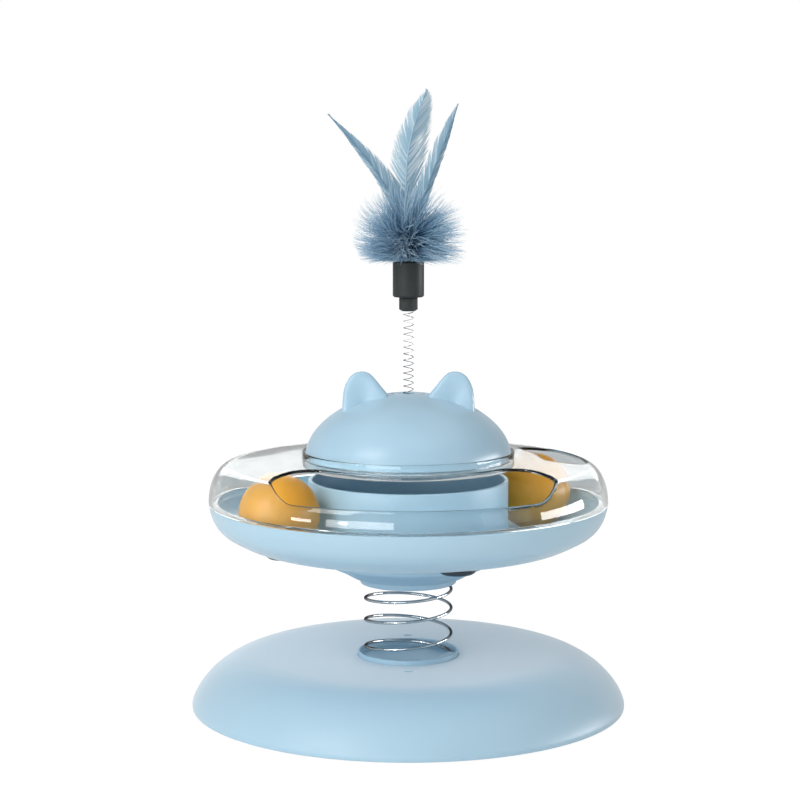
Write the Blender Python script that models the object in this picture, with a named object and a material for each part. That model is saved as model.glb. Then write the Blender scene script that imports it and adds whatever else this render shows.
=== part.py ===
"""Cat teaser toy: a weighted base, a coil spring, a spinning ball track with a
treat cup under a clear cover, and a lid with cat ears that carries a feather
teaser on a thin spring. Metres, +Z up, origin on the floor under the centre.
The front of the toy faces -Y."""

import bpy
import math
from mathutils import Matrix, Vector

# Clearances
FIT = 0.0003                 # between pieces that touch or rest on each other
RUNNING_GAP = 0.0005         # between a turning piece and a still one
OVERRUN = 0.002              # how far a cutter runs past the face that it cuts
ROOT_DEPTH = 0.0006          # how deep a rib or a boss is rooted in its wall

# Roundness of turned pieces, in sides
LARGE_SIDES = 36
MEDIUM_SIDES = 20
SMALL_SIDES = 12
POST_SIDES = 8

# Base: shell, floor, rubber pads, steel ballast and spring cup
PAD_RADIUS = 0.009
PAD_THICKNESS = 0.0015
PAD_COUNT = 4
SHELL_LIFT = 0.0008          # shell's lower edge above the table
BASE_RADIUS = 0.1084
PAD_INSET = 0.0284           # from the base's edge in to the middle of a pad
PAD_SPREAD = BASE_RADIUS - PAD_INSET
BASE_RIM = 0.00175           # upright edge of the shell
BASE_HEIGHT = 0.0259         # shell's edge to the plateau
BASE_PLATEAU_RADIUS = 0.0698
BASE_DISH = 0.0013           # how far the plateau falls towards the cup
BASE_SIDE_SHARE = 2.3        # exponents of the rounded flank
BASE_TOP_SHARE = 1.37
BASE_WALL = 0.0025
FLANK_STEPS = 6
FLOOR_THICKNESS = 0.0022
FLOOR_SIDE_GAP = 0.0008
PILLAR_RADIUS = 0.019        # post of the floor plate that carries the spring cup
PILLAR_WALL = 0.003
BALLAST_INSET = 0.0304
BALLAST_RADIUS = BASE_RADIUS - BALLAST_INSET
BALLAST_THICKNESS = 0.003
BASE_SCREW_INSET = 0.0244
BASE_SCREW_SPREAD = BASE_RADIUS - BASE_SCREW_INSET
BASE_SCREW_COUNT = 4
BASE_BOSS_RADIUS = 0.004
BASE_SCREW_LENGTH = 0.012
SCREW_RADIUS = 0.0013
SCREW_HEAD_RADIUS = 0.0028
SCREW_HEAD_HEIGHT = 0.0012
MARK_SPREAD = 0.0385         # two small moulded marks before and behind the cup
MARK_LENGTH = 0.0024
MARK_WIDTH = 0.0012
MARK_DEPTH = 0.0004

# Spring cup in the base and spring seat under the saucer
CUP_BORE = 0.0241
CUP_WALL = 0.0011
CUP_LIP = 0.0023             # lip above the dished plateau
CUP_DEPTH = 0.0035           # lip to the floor of the cup
CUP_FLANGE = 0.0028
CUP_FLANGE_THICKNESS = 0.0015
CUP_EDGE = 0.0004
TAB_THICKNESS = 0.0012       # ledge that holds the last turn of wire down
TAB_REACH = 0.0042
TAB_START_DEG = -12.0
TAB_END_DEG = -76.0
TAB_STEPS = 8

# Main spring
MAIN_WIRE = 0.0015
MAIN_OUTER_RADIUS = 0.0223
MAIN_RISE = 0.0401           # between the centres of its two end turns
MAIN_TURNS = 3.53
MAIN_END_TURN = 0.32         # flat part of a turn at each end
MAIN_SWAY = 2.35             # how far the coil strays from an even pitch
MAIN_LOW_CROSSING = 0.30     # shares of its turns where it meets an even pitch
MAIN_HIGH_CROSSING = 0.779
CURL_POINTS = 8

# Spring seat, axle and bearings
SEAT_RECESS = 0.0040
SEAT_DISC = 0.0018
AXLE_RADIUS = 0.004
AXLE_HEAD_RADIUS = 0.009
AXLE_HEAD = 0.0020
AXLE_THREAD_DEPTH = 0.009
WASHER_RADIUS = 0.009
WASHER_THICKNESS = 0.001
BUSH_WALL = 0.0019
BUSH_FLANGE_RADIUS = 0.009
BUSH_FLANGE = 0.0012
BUSH_LENGTH = 0.0058
SLEEVE_WALL = 0.0033
AXLE_SCREW_RADIUS = 0.0015
AXLE_SCREW_HEAD_RADIUS = 0.0035
AXLE_SCREW_HEAD = 0.0018
AXLE_SCREW_LENGTH = 0.008

# Saucer: bowl, hub cover, treat drum, outlets, clear cover
SAUCER_RADIUS = 0.0993
BOWL_DEPTH_SHARE = 0.2175    # joint with the clear cover down to the underside
BOWL_DEPTH = SAUCER_RADIUS * BOWL_DEPTH_SHARE
BOWL_WALL = 0.0014
BOWL_CLEAR_OF_SEAT = 0.0135  # underside of the bowl above the seat's disc
# Shares of the saucer's radius and of the bowl's depth, from the rim inwards
BOWL_OUTLINE_SHARES = (
    (1.0, 0.0), (0.989, 0.23), (0.965, 0.47), (0.93, 0.645),
    (0.886, 0.765), (0.846, 0.86), (0.80, 0.945), (0.75, 0.99), (0.62, 1.0),
)
BOWL_STEPS = 1
HUB_SHARE = 0.437
HUB_RADIUS = SAUCER_RADIUS * HUB_SHARE
HUB_WALL = 0.0018
HUB_FOOT_RADIUS = 0.0284
HUB_KNEE_RADIUS = 0.0340
HUB_FOOT_DROP = 0.0022       # foot of the hub cover below the seat's top
HUB_KNEE_RISE = 0.0032
HUB_SHOULDER_RISE = 0.0042
RIB_WALL = 0.0016            # ring under the bowl that the hub cover snaps on
RIB_DEPTH = 0.0029
DRUM_SHARE = 0.5015
DRUM_RADIUS = SAUCER_RADIUS * DRUM_SHARE
DRUM_WALL = 0.0020
DRUM_HEIGHT_SHARE = 0.3142   # of the saucer's radius
DRUM_HEIGHT = SAUCER_RADIUS * DRUM_HEIGHT_SHARE
DRUM_FLOOR = 0.0020
DRUM_FLOOR_RISE = 0.0049     # underside of the treat cup's floor above the drum's foot
DRUM_LIP = 0.0005
DRUM_SCREW_SHARE = 0.723     # of the drum's radius
DRUM_SCREW_SPREAD = DRUM_RADIUS * DRUM_SCREW_SHARE
DRUM_SCREW_COUNT = 3
DRUM_BOSS_RADIUS = 0.0034
DRUM_SCREW_GRIP = 0.0056
OUTLET_COUNT = 4
OUTLET_SHARE = 0.6546        # of the saucer's radius
OUTLET_SPREAD = SAUCER_RADIUS * OUTLET_SHARE
OUTLET_FIRST_DEG = 20.6
OUTLET_BORE = 0.0055
OUTLET_WALL = 0.0015
OUTLET_FLANGE_SHARE = 0.0926
OUTLET_FLANGE_RADIUS = SAUCER_RADIUS * OUTLET_FLANGE_SHARE
OUTLET_DROP = 0.0026
COVER_WALL = 0.0013
COVER_SHOULDER_REACH = 0.0113
COVER_SHOULDER_RADIUS = SAUCER_RADIUS - COVER_SHOULDER_REACH
COVER_RISE_SHARE = 0.1913    # of the saucer's radius
COVER_SHOULDER_RISE = SAUCER_RADIUS * COVER_RISE_SHARE
COVER_SHOULDER_SHARE = 2.1
SHOULDER_STEPS = 5
COVER_CROWN = 0.0028         # neck's foot above the shoulder
SPIGOT_DEPTH = 0.003
SPIGOT_WALL = 0.0015
NECK_WALL = 0.0015
NECK_RISE = 0.0037           # neck above the cover's top
SKIRT_DROP = 0.0043          # neck's lower edge below the cover's top
LEDGE_REACH = 0.0028
LEDGE_THICKNESS = 0.0015
FRONT_WINDOW_EDGE = 0.0025   # a window's outer edge inside the saucer's radius
REAR_WINDOW_EDGE = 0.0108
FRONT_WINDOW_OUTER_RADIUS = SAUCER_RADIUS - FRONT_WINDOW_EDGE
REAR_WINDOW_OUTER_RADIUS = SAUCER_RADIUS - REAR_WINDOW_EDGE
FRONT_WINDOW_CORNERS = (0.024, 0.012)     # at the outer edge, at the inner edge
REAR_WINDOW_CORNERS = (0.009, 0.009)
FRONT_WINDOW_INSET = 0.0092  # a window's inner edge outside the drum's radius
REAR_WINDOW_INSET = 0.0172
FRONT_WINDOW_INNER_RADIUS = DRUM_RADIUS + FRONT_WINDOW_INSET
REAR_WINDOW_INNER_RADIUS = DRUM_RADIUS + REAR_WINDOW_INSET
# Centre and half angle of each window, in degrees
FRONT_WINDOW_DEG = (-88.0, 55.0)
REAR_RIGHT_WINDOW_DEG = (15.0, 20.0)
REAR_WINDOW_DEG = (100.0, 20.0)
WINDOW_STEPS = 8
CORNER_STEPS = 4

# Balls
BALL_SHARE = 0.3918          # of the track's width
BALL_RADIUS = (SAUCER_RADIUS - DRUM_RADIUS) * BALL_SHARE
BALL_WALL = 0.0012
BALL_TRACK_SHARE = 0.7301    # of the saucer's radius
BALL_TRACK_RADIUS = SAUCER_RADIUS * BALL_TRACK_SHARE
BALL_LEFT_DEG = -149.0
BALL_RIGHT_DEG = 28.0
BALL_SIDES = 16
BALL_ROWS = 4

# Lid with ears
LID_OVER_DRUM = 0.0012       # lid's edge outside the drum's wall
LID_RADIUS = DRUM_RADIUS + LID_OVER_DRUM
LID_SKIRT = 0.0024           # upright edge of the lid inside the neck
LID_RISE = 0.0300
LID_SIDE_SHARE = 2.0
LID_TOP_SHARE = 1.75
LID_WALL = 0.0020
LID_STEPS = 7
PLUG_RADIUS = 0.008
PLUG_HEAD = 0.0023
PLUG_STEM_RADIUS = 0.0047
PLUG_STEM = 0.0060
PLUG_BOSS_WALL = 0.0055
PLUG_BOSS_DROP = 0.0036
EAR_CENTRE_SHARE = 0.4412    # from the middle plane to an ear's tip
EAR_CENTRE = LID_RADIUS * EAR_CENTRE_SHARE
EAR_PLANE = -0.0065          # ears stand a little to the front
EAR_FOOT = 0.0215            # ear's root below its tip
EAR_TIP = 0.0112             # ear's tip above the lid's top
EAR_THICKNESS = 0.0085
EAR_TIP_THICKNESS = 0.0040
# Outline of the right ear, outwards from the tip and down, then inwards:
# shares of its width on that side and of its height
EAR_WIDTH_OUT_SHARE = 0.2039
EAR_WIDTH_IN_SHARE = 0.3235
EAR_WIDTH_OUT = LID_RADIUS * EAR_WIDTH_OUT_SHARE
EAR_WIDTH_IN = LID_RADIUS * EAR_WIDTH_IN_SHARE
EAR_OUTER_SHARES = ((0.30, 0.018), (0.60, 0.118), (0.82, 0.30), (0.94, 0.53), (1.0, 1.0))
EAR_INNER_SHARES = ((0.16, 0.027), (0.33, 0.136), (0.55, 0.345), (0.78, 0.58), (1.0, 1.0))

# Teaser on its thin spring
WHIP_WIRE = 0.0004
WHIP_OUTER_RADIUS = 0.0026
WHIP_LENGTH = 0.0409         # lid's plug to the connector
WHIP_TURNS = 13.5
WHIP_SOCKET_GAP = 0.0006
WHIP_SOCKET_DEPTH = 0.0018
CONNECTOR_RADIUS = 0.0046
CONNECTOR_LENGTH = 0.0066
CONNECTOR_SPIGOT_RADIUS = 0.0034
CONNECTOR_SPIGOT = 0.0092
CONNECTOR_EDGE = 0.0007
SLEEVE_RADIUS = 0.00775
SLEEVE_LENGTH = 0.0173
SLEEVE_WEB = 0.0015
QUILL_SOCKET_RADIUS = 0.0030
FLUFF_RADIUS = 0.0250
FLUFF_HEIGHT = 0.0325
FLUFF_NECK_RADIUS = 0.0060
FLUFF_BORE = 0.0030
FLUFF_MOUTH = 0.0125
FLUFF_FLARE_SHARE = 1.3
FLUFF_STEPS = 6
QUILL_RADIUS = 0.0008
QUILL_SPREAD = 0.0014
FEATHER_STEPS = 14
FEATHER_SIDES = 6
VANE_THICKNESS = 0.0010
VANE_START_SHARE = 0.52
VANE_POWER_SHARE = 0.8

PI = math.pi


# Blender helpers
def clear_scene():
    for obj in list(bpy.data.objects):
        bpy.data.objects.remove(obj, do_unlink=True)


def linear(channel):
    """An sRGB channel from 0 to 255, as linear light."""
    c = channel / 255
    return c / 12.92 if c <= 0.04045 else ((c + 0.055) / 1.055) ** 2.4


def material(name, hex_colour, roughness, metallic=0.0, alpha=1.0):
    mat = bpy.data.materials.new(name)
    mat.use_nodes = True
    shader = mat.node_tree.nodes["Principled BSDF"]
    rgb = [linear(int(hex_colour[i:i + 2], 16)) for i in (0, 2, 4)]
    shader.inputs["Base Color"].default_value = (*rgb, 1.0)
    shader.inputs["Roughness"].default_value = roughness
    shader.inputs["Metallic"].default_value = metallic
    shader.inputs["Alpha"].default_value = alpha
    mat.diffuse_color = (*rgb, alpha)
    return mat


def solid(name, verts, faces, mat, smooth=True):
    mesh = bpy.data.meshes.new(name)
    mesh.from_pydata([tuple(v) for v in verts], [], faces)
    mesh.validate()
    if smooth:
        mesh.shade_smooth()
        mesh.set_sharp_from_angle(angle=math.radians(35))
    obj = bpy.data.objects.new(name, mesh)
    bpy.context.scene.collection.objects.link(obj)
    if mat:
        mesh.materials.append(mat)
    return obj


def turned_faces(outline, sides, centre=(0, 0)):
    """Vertices and faces of a closed outline of (radius, height), turned about Z.
    The outline runs so that the solid lies on its left."""
    verts, faces, rings = [], [], []
    for r, z in outline:
        first = len(verts)
        if r == 0:
            rings.append([first] * sides)
            verts.append((centre[0], centre[1], z))
            continue
        for k in range(sides):
            a = 2 * PI * k / sides
            verts.append((centre[0] + r * math.cos(a), centre[1] + r * math.sin(a), z))
        rings.append(list(range(first, first + sides)))
    for i, ring in enumerate(rings):
        j = (i + 1) % len(rings)
        for k in range(sides):
            n = (k + 1) % sides
            face = list(dict.fromkeys([ring[k], ring[n], rings[j][n], rings[j][k]]))
            if len(face) > 2:
                faces.append(face)
    return verts, faces


def turned(name, outline, sides, mat):
    return solid(name, *turned_faces(outline, sides), mat)


def place_on_circle(count, radius, first_deg=0.0):
    step = 2 * PI / count
    first = math.radians(first_deg)
    return [(radius * math.cos(first + step * k), radius * math.sin(first + step * k))
            for k in range(count)]


def prism(points, bottom, top):
    """Vertices and faces of an upright prism over points that run anticlockwise."""
    count = len(points)
    verts = [(x, y, bottom) for x, y in points] + [(x, y, top) for x, y in points]
    faces = [list(range(count))[::-1], list(range(count, 2 * count))]
    for k in range(count):
        n = (k + 1) % count
        faces.append([k, n, n + count, k + count])
    return verts, faces


def posts(name, radius, bottom, top, places, sides=POST_SIDES):
    """Upright posts at the given places, in one mesh."""
    verts, faces = [], []
    for x, y in places:
        ring = [(x + u, y + v) for u, v in place_on_circle(sides, radius, 180 / sides)]
        v, f = prism(ring, bottom, top)
        faces += [[i + len(verts) for i in face] for face in f]
        verts += v
    return solid(name, verts, faces, None, smooth=False)


def boolean(target, tool, operation):
    tool.hide_render = True
    tool.display_type = "WIRE"
    mod = target.modifiers.new(operation.title(), "BOOLEAN")
    mod.operation = operation
    mod.solver = "EXACT"
    mod.object = tool


def cut(target, tool):
    boolean(target, tool, "DIFFERENCE")


def add(target, tool):
    boolean(target, tool, "UNION")


def wire(name, points, radius, mat):
    """A round wire of six sides through the points, with closed ends."""
    curve = bpy.data.curves.new(name, "CURVE")
    curve.dimensions = "3D"
    curve.bevel_depth = radius
    curve.bevel_resolution = 1
    curve.use_fill_caps = True
    spline = curve.splines.new("POLY")
    spline.points.add(len(points) - 1)
    for point, place in zip(spline.points, points):
        point.co = (*place, 1)
    curve.materials.append(mat)
    obj = bpy.data.objects.new(name, curve)
    bpy.context.scene.collection.objects.link(obj)
    return obj


# Outline helpers
def rounded_quarter(centre_r, centre_z, reach, rise, side_share, top_share, steps):
    """Points from the side (reach) to the top (rise) of a rounded quarter."""
    points = []
    for k in range(steps + 1):
        a = PI / 2 * k / steps
        r = centre_r + reach * max(math.cos(a), 0.0) ** (2 / side_share)
        z = centre_z + rise * math.sin(a) ** (2 / top_share)
        points.append((r, z))
    return points


def smooth_line(points, steps):
    """A smooth curve through the points, with the given steps between two."""
    first = [2 * a - b for a, b in zip(points[0], points[1])]
    last = [2 * a - b for a, b in zip(points[-1], points[-2])]
    p = [first] + [list(q) for q in points] + [last]
    out = []
    for i in range(1, len(p) - 2):
        for k in range(steps):
            t = k / steps
            out.append(tuple(
                0.5 * (2 * b + (c - a) * t + (2 * a - 5 * b + 4 * c - d) * t * t
                       + (3 * b - a - 3 * c + d) * t ** 3)
                for a, b, c, d in zip(p[i - 1], p[i], p[i + 1], p[i + 2])))
    out.append(tuple(points[-1]))
    return out


def offset_line(points, distance):
    """The line moved to its left by a wall's thickness."""
    out = []
    for i, (r, z) in enumerate(points):
        a = points[max(i - 1, 0)]
        b = points[min(i + 1, len(points) - 1)]
        dr, dz = b[0] - a[0], b[1] - a[1]
        length = math.hypot(dr, dz)
        out.append((r - dz / length * distance, z + dr / length * distance))
    return out


def height_at(points, radius):
    """Height of an outline at a radius, by straight runs between its points."""
    for (r0, z0), (r1, z1) in zip(points, points[1:]):
        if min(r0, r1) <= radius <= max(r0, r1) and r0 != r1:
            return z0 + (z1 - z0) * (radius - r0) / (r1 - r0)
    return points[-1][1]


def least_gap(points, wire_size, skip):
    """Least gap between a wire's turns, measured between its points."""
    best = None
    for i, p in enumerate(points):
        for q in points[i + skip:]:
            d = (Vector(p) - Vector(q)).length - wire_size
            best = d if best is None else min(best, d)
    return best


# Heights that the assembly builds up, from the table to the feathers
FLOOR_BOTTOM = PAD_THICKNESS + FIT
FLOOR_TOP = FLOOR_BOTTOM + FLOOR_THICKNESS
BASE_TOP = SHELL_LIFT + BASE_HEIGHT
DISH_Z = BASE_TOP - BASE_DISH
LIP_Z = DISH_Z + CUP_LIP
CUP_FLOOR = LIP_Z - CUP_DEPTH
CUP_RADIUS = CUP_BORE + CUP_WALL
FLANGE_TOP = DISH_Z - BASE_WALL - FIT
CUP_BOTTOM = FLANGE_TOP - CUP_FLANGE_THICKNESS
PILLAR_TOP = CUP_BOTTOM - FIT
MAIN_RADIUS = MAIN_OUTER_RADIUS - MAIN_WIRE / 2
MAIN_FOOT = CUP_FLOOR + FIT + MAIN_WIRE / 2
MAIN_HEAD = MAIN_FOOT + MAIN_RISE
ROCK_Z = (MAIN_FOOT + MAIN_HEAD) / 2
SEAT_UNDER = MAIN_HEAD + MAIN_WIRE / 2 + FIT
SEAT_BOTTOM = SEAT_UNDER - SEAT_RECESS
SEAT_TOP = SEAT_UNDER + SEAT_DISC
THRUST_BOTTOM = SEAT_TOP + FIT
LOWER_BUSH_BOTTOM = THRUST_BOTTOM + WASHER_THICKNESS + FIT
SLEEVE_BOTTOM = LOWER_BUSH_BOTTOM + BUSH_FLANGE + FIT
BOWL_UNDER = SEAT_TOP + BOWL_CLEAR_OF_SEAT
TRACK_FLOOR = BOWL_UNDER + BOWL_WALL
JOINT_Z = BOWL_UNDER + BOWL_DEPTH
UPPER_FLANGE_BOTTOM = TRACK_FLOOR + FIT
AXLE_TOP = UPPER_FLANGE_BOTTOM + BUSH_FLANGE
AXLE_BORE = AXLE_RADIUS + FIT
BUSH_RADIUS = AXLE_BORE + BUSH_WALL
SLEEVE_BORE = BUSH_RADIUS + FIT
DRUM_FOOT = TRACK_FLOOR + FIT
DRUM_UNDER = DRUM_FOOT + DRUM_FLOOR_RISE
DRUM_TOP = DRUM_FOOT + DRUM_HEIGHT
COVER_FOOT = JOINT_Z + FIT
SHOULDER_Z = COVER_FOOT + COVER_SHOULDER_RISE
COVER_TOP = SHOULDER_Z + COVER_CROWN
NECK_BORE = LID_RADIUS + FIT
NECK_RADIUS = NECK_BORE + NECK_WALL
NECK_TOP = COVER_TOP + NECK_RISE
SKIRT_Z = COVER_TOP - SKIRT_DROP
LEDGE_TOP = COVER_TOP - FIT
LID_FOOT = LEDGE_TOP + FIT
LID_SPRING_LINE = LID_FOOT + LID_SKIRT
LID_TOP = LID_SPRING_LINE + LID_RISE
PLUG_TOP = LID_TOP - FIT
WHIP_FOOT = PLUG_TOP - WHIP_SOCKET_DEPTH + FIT + WHIP_WIRE / 2
CONNECTOR_Z = PLUG_TOP + WHIP_LENGTH
WHIP_HEAD = CONNECTOR_Z + WHIP_SOCKET_DEPTH - FIT - WHIP_WIRE / 2
WHIP_Z = (WHIP_FOOT + WHIP_HEAD) / 2
WHIP_RADIUS = WHIP_OUTER_RADIUS - WHIP_WIRE / 2
CONNECTOR_TOP = CONNECTOR_Z + CONNECTOR_LENGTH
SLEEVE_Z = CONNECTOR_TOP + FIT
SLEEVE_TOP = SLEEVE_Z + SLEEVE_LENGTH
SPIGOT_TOP = CONNECTOR_TOP + CONNECTOR_SPIGOT
QUILL_Z = SPIGOT_TOP + FIT + SLEEVE_WEB + FIT
FLUFF_Z = SLEEVE_TOP + FIT


def main_spring_points():
    """Right-handed coil: flat end turns, a pitch that starts narrow and is widest below
    the middle, and a straight end of one wire's thickness."""
    points = []
    turns = MAIN_TURNS + 2 * MAIN_END_TURN
    count = round(turns * CURL_POINTS)
    for k in range(count + 1):
        turn = -MAIN_END_TURN + turns * k / count
        s = min(max(turn / MAIN_TURNS, 0.0), 1.0)
        rise = s + (MAIN_SWAY * s * (1 - s) * (s - MAIN_LOW_CROSSING)
                    * (MAIN_HIGH_CROSSING - s))
        a = 2 * PI * turn
        points.append((MAIN_RADIUS * math.cos(a), MAIN_RADIUS * math.sin(a),
                       MAIN_FOOT + MAIN_RISE * rise))
    return with_straight_ends(points, MAIN_WIRE)


def whip_spring_points():
    points = []
    count = round(WHIP_TURNS * CURL_POINTS)
    for k in range(count + 1):
        a = 2 * PI * WHIP_TURNS * k / count
        points.append((WHIP_RADIUS * math.cos(a), WHIP_RADIUS * math.sin(a),
                       WHIP_FOOT + (WHIP_HEAD - WHIP_FOOT) * k / count))
    return with_straight_ends(points, WHIP_WIRE)


def with_straight_ends(points, length):
    """Level, straight ends of the given length, along the wire."""
    out = [Vector(p) for p in points]
    for end, inner in ((0, 1), (-1, -2)):
        along = out[end] - out[inner]
        along.z = 0
        tip = out[end] + along.normalized() * length
        if end == 0:
            out.insert(0, tip)
        else:
            out.append(tip)
    return [tuple(p) for p in out]


def base_outer_line():
    return rounded_quarter(BASE_PLATEAU_RADIUS, SHELL_LIFT + BASE_RIM,
                           BASE_RADIUS - BASE_PLATEAU_RADIUS, BASE_HEIGHT - BASE_RIM,
                           BASE_SIDE_SHARE, BASE_TOP_SHARE, FLANK_STEPS)


def base_inner_line():
    return rounded_quarter(BASE_PLATEAU_RADIUS, SHELL_LIFT + BASE_RIM,
                           BASE_RADIUS - BASE_PLATEAU_RADIUS - BASE_WALL,
                           BASE_HEIGHT - BASE_RIM - BASE_WALL,
                           BASE_SIDE_SHARE, BASE_TOP_SHARE, FLANK_STEPS)


def make_base_shell(mat):
    hole = CUP_RADIUS + FIT
    outer = base_outer_line()
    inner = base_inner_line()
    outline = ([(hole, DISH_Z - BASE_WALL)] + inner[::-1]
               + [(BASE_RADIUS - BASE_WALL, SHELL_LIFT), (BASE_RADIUS, SHELL_LIFT)]
               + outer + [(hole, DISH_Z)])
    shell = turned("base_shell", outline, LARGE_SIDES, mat)
    places = place_on_circle(BASE_SCREW_COUNT, BASE_SCREW_SPREAD)
    boss_top = height_at(inner, BASE_SCREW_SPREAD + BASE_BOSS_RADIUS) + BASE_WALL / 2
    bosses = posts("base_boss_guide", BASE_BOSS_RADIUS, FLOOR_TOP + FIT, boss_top, places)
    add(shell, bosses)
    screw_top = FLOOR_BOTTOM + BASE_SCREW_LENGTH
    cut(shell, posts("base_pilot_cutter", SCREW_RADIUS + FIT, FLOOR_TOP - OVERRUN,
                     screw_top + FIT, places))
    marks = []
    for sign in (-1, 1):
        y = sign * MARK_SPREAD
        slope = (MARK_SPREAD - hole) / (BASE_PLATEAU_RADIUS - hole)
        marks.append((y, DISH_Z + BASE_DISH * slope))
    cut(shell, mark_cutter(marks))
    return shell


def mark_cutter(marks):
    """Two small lens-shaped dents in the plateau."""
    verts, faces = [], []
    for y, z in marks:
        ring_z = z + OVERRUN
        first = len(verts)
        for level, size in ((z - MARK_DEPTH, 0.5), (ring_z, 1.0)):
            for k in range(POST_SIDES):
                a = 2 * PI * k / POST_SIDES
                verts.append((size * MARK_LENGTH * math.cos(a),
                              y + size * MARK_WIDTH * math.sin(a), level))
        low = [first + k for k in range(POST_SIDES)]
        high = [i + POST_SIDES for i in low]
        faces.append(low[::-1])
        faces.append(high)
        for k in range(POST_SIDES):
            j = (k + 1) % POST_SIDES
            faces.append([low[k], low[j], high[j], high[k]])
    return solid("mark_cutter", verts, faces, None)


def make_base_floor(mat):
    edge = BASE_RADIUS - BASE_WALL - FLOOR_SIDE_GAP
    outline = [(0, FLOOR_BOTTOM), (edge, FLOOR_BOTTOM), (edge, FLOOR_TOP),
               (PILLAR_RADIUS, FLOOR_TOP), (PILLAR_RADIUS, PILLAR_TOP),
               (PILLAR_RADIUS - PILLAR_WALL, PILLAR_TOP),
               (PILLAR_RADIUS - PILLAR_WALL, FLOOR_TOP), (0, FLOOR_TOP)]
    floor = turned("base_floor", outline, LARGE_SIDES, mat)
    cut(floor, posts("floor_hole_cutter", SCREW_RADIUS + FIT, FLOOR_BOTTOM - OVERRUN,
                     FLOOR_TOP + OVERRUN, place_on_circle(BASE_SCREW_COUNT, BASE_SCREW_SPREAD)))
    return floor


def make_screw(name, x, y, head_top, length, mat):
    """A pan-head screw that points up, its head under the given height."""
    outline = [(0, head_top - SCREW_HEAD_HEIGHT), (SCREW_HEAD_RADIUS, head_top - SCREW_HEAD_HEIGHT),
               (SCREW_HEAD_RADIUS, head_top), (SCREW_RADIUS, head_top),
               (SCREW_RADIUS, head_top + length), (0, head_top + length)]
    screw = turned(name, outline, POST_SIDES, mat)
    screw.location = (x, y, 0)
    return screw


def make_ballast(mat):
    bottom = FLOOR_TOP + FIT
    bore = PILLAR_RADIUS + RUNNING_GAP
    outline = [(bore, bottom), (BALLAST_RADIUS, bottom),
               (BALLAST_RADIUS, bottom + BALLAST_THICKNESS), (bore, bottom + BALLAST_THICKNESS)]
    return turned("ballast_ring", outline, MEDIUM_SIDES, mat)


def ring_sector(name, inner, outer, bottom, top, start_deg, end_deg, steps):
    """A piece of a ring between two angles."""
    verts, faces = [], []
    for k in range(steps + 1):
        a = math.radians(start_deg + (end_deg - start_deg) * k / steps)
        c, s = math.cos(a), math.sin(a)
        for r, z in ((inner, bottom), (outer, bottom), (outer, top), (inner, top)):
            verts.append((r * c, r * s, z))
    for k in range(steps):
        for e in range(4):
            i, j = 4 * k + e, 4 * k + (e + 1) % 4
            faces.append([i, j, j + 4, i + 4])
    faces.append([0, 3, 2, 1])
    end = 4 * steps
    faces.append([end, end + 1, end + 2, end + 3])
    if end_deg > start_deg:
        faces = [f[::-1] for f in faces]
    return solid(name, verts, faces, None)


def make_spring_cup(mat):
    flange = CUP_RADIUS + CUP_FLANGE
    outline = [(0, CUP_BOTTOM), (flange, CUP_BOTTOM), (flange, FLANGE_TOP),
               (CUP_RADIUS, FLANGE_TOP), (CUP_RADIUS, LIP_Z - CUP_EDGE),
               (CUP_RADIUS - CUP_EDGE, LIP_Z), (CUP_BORE + CUP_EDGE, LIP_Z),
               (CUP_BORE, LIP_Z - CUP_EDGE), (CUP_BORE, CUP_FLOOR), (0, CUP_FLOOR)]
    cup = turned("spring_cup", outline, LARGE_SIDES, mat)
    tab_bottom = MAIN_FOOT + MAIN_WIRE / 2 + FIT
    tab = ring_sector("cup_tab_guide", CUP_BORE - TAB_REACH, CUP_BORE + ROOT_DEPTH, tab_bottom,
                      tab_bottom + TAB_THICKNESS, TAB_START_DEG, TAB_END_DEG, TAB_STEPS)
    add(cup, tab)
    return cup


def make_spring_seat(mat):
    outline = [(AXLE_BORE, SEAT_UNDER), (CUP_BORE - CUP_WALL, SEAT_UNDER),
               (CUP_BORE - CUP_WALL, SEAT_BOTTOM), (CUP_BORE - CUP_EDGE, SEAT_BOTTOM),
               (CUP_BORE, SEAT_BOTTOM + CUP_EDGE), (CUP_BORE, SEAT_TOP), (AXLE_BORE, SEAT_TOP)]
    seat = turned("spring_seat", outline, LARGE_SIDES, mat)
    tab_top = MAIN_HEAD - MAIN_WIRE / 2 - FIT
    turn_deg = 360 * MAIN_TURNS
    tab = ring_sector("seat_tab_guide", CUP_BORE - CUP_WALL - TAB_REACH,
                      CUP_BORE - CUP_WALL + ROOT_DEPTH / 2, tab_top - TAB_THICKNESS, tab_top,
                      turn_deg - TAB_START_DEG, turn_deg - TAB_END_DEG, TAB_STEPS)
    add(seat, tab)
    return seat


def make_axle(mat):
    head_top = SEAT_UNDER - FIT
    thread = AXLE_SCREW_RADIUS + FIT
    outline = [(0, head_top - AXLE_HEAD), (AXLE_HEAD_RADIUS, head_top - AXLE_HEAD),
               (AXLE_HEAD_RADIUS, head_top), (AXLE_RADIUS, head_top), (AXLE_RADIUS, AXLE_TOP),
               (thread, AXLE_TOP), (thread, AXLE_TOP - AXLE_THREAD_DEPTH),
               (0, AXLE_TOP - AXLE_THREAD_DEPTH)]
    return turned("axle", outline, MEDIUM_SIDES, mat)


def make_axle_screw(mat):
    under = AXLE_TOP + FIT + WASHER_THICKNESS + FIT
    outline = [(0, under - AXLE_SCREW_LENGTH), (AXLE_SCREW_RADIUS, under - AXLE_SCREW_LENGTH),
               (AXLE_SCREW_RADIUS, under), (AXLE_SCREW_HEAD_RADIUS, under),
               (AXLE_SCREW_HEAD_RADIUS, under + AXLE_SCREW_HEAD), (0, under + AXLE_SCREW_HEAD)]
    return turned("axle_screw", outline, SMALL_SIDES, mat)


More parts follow.
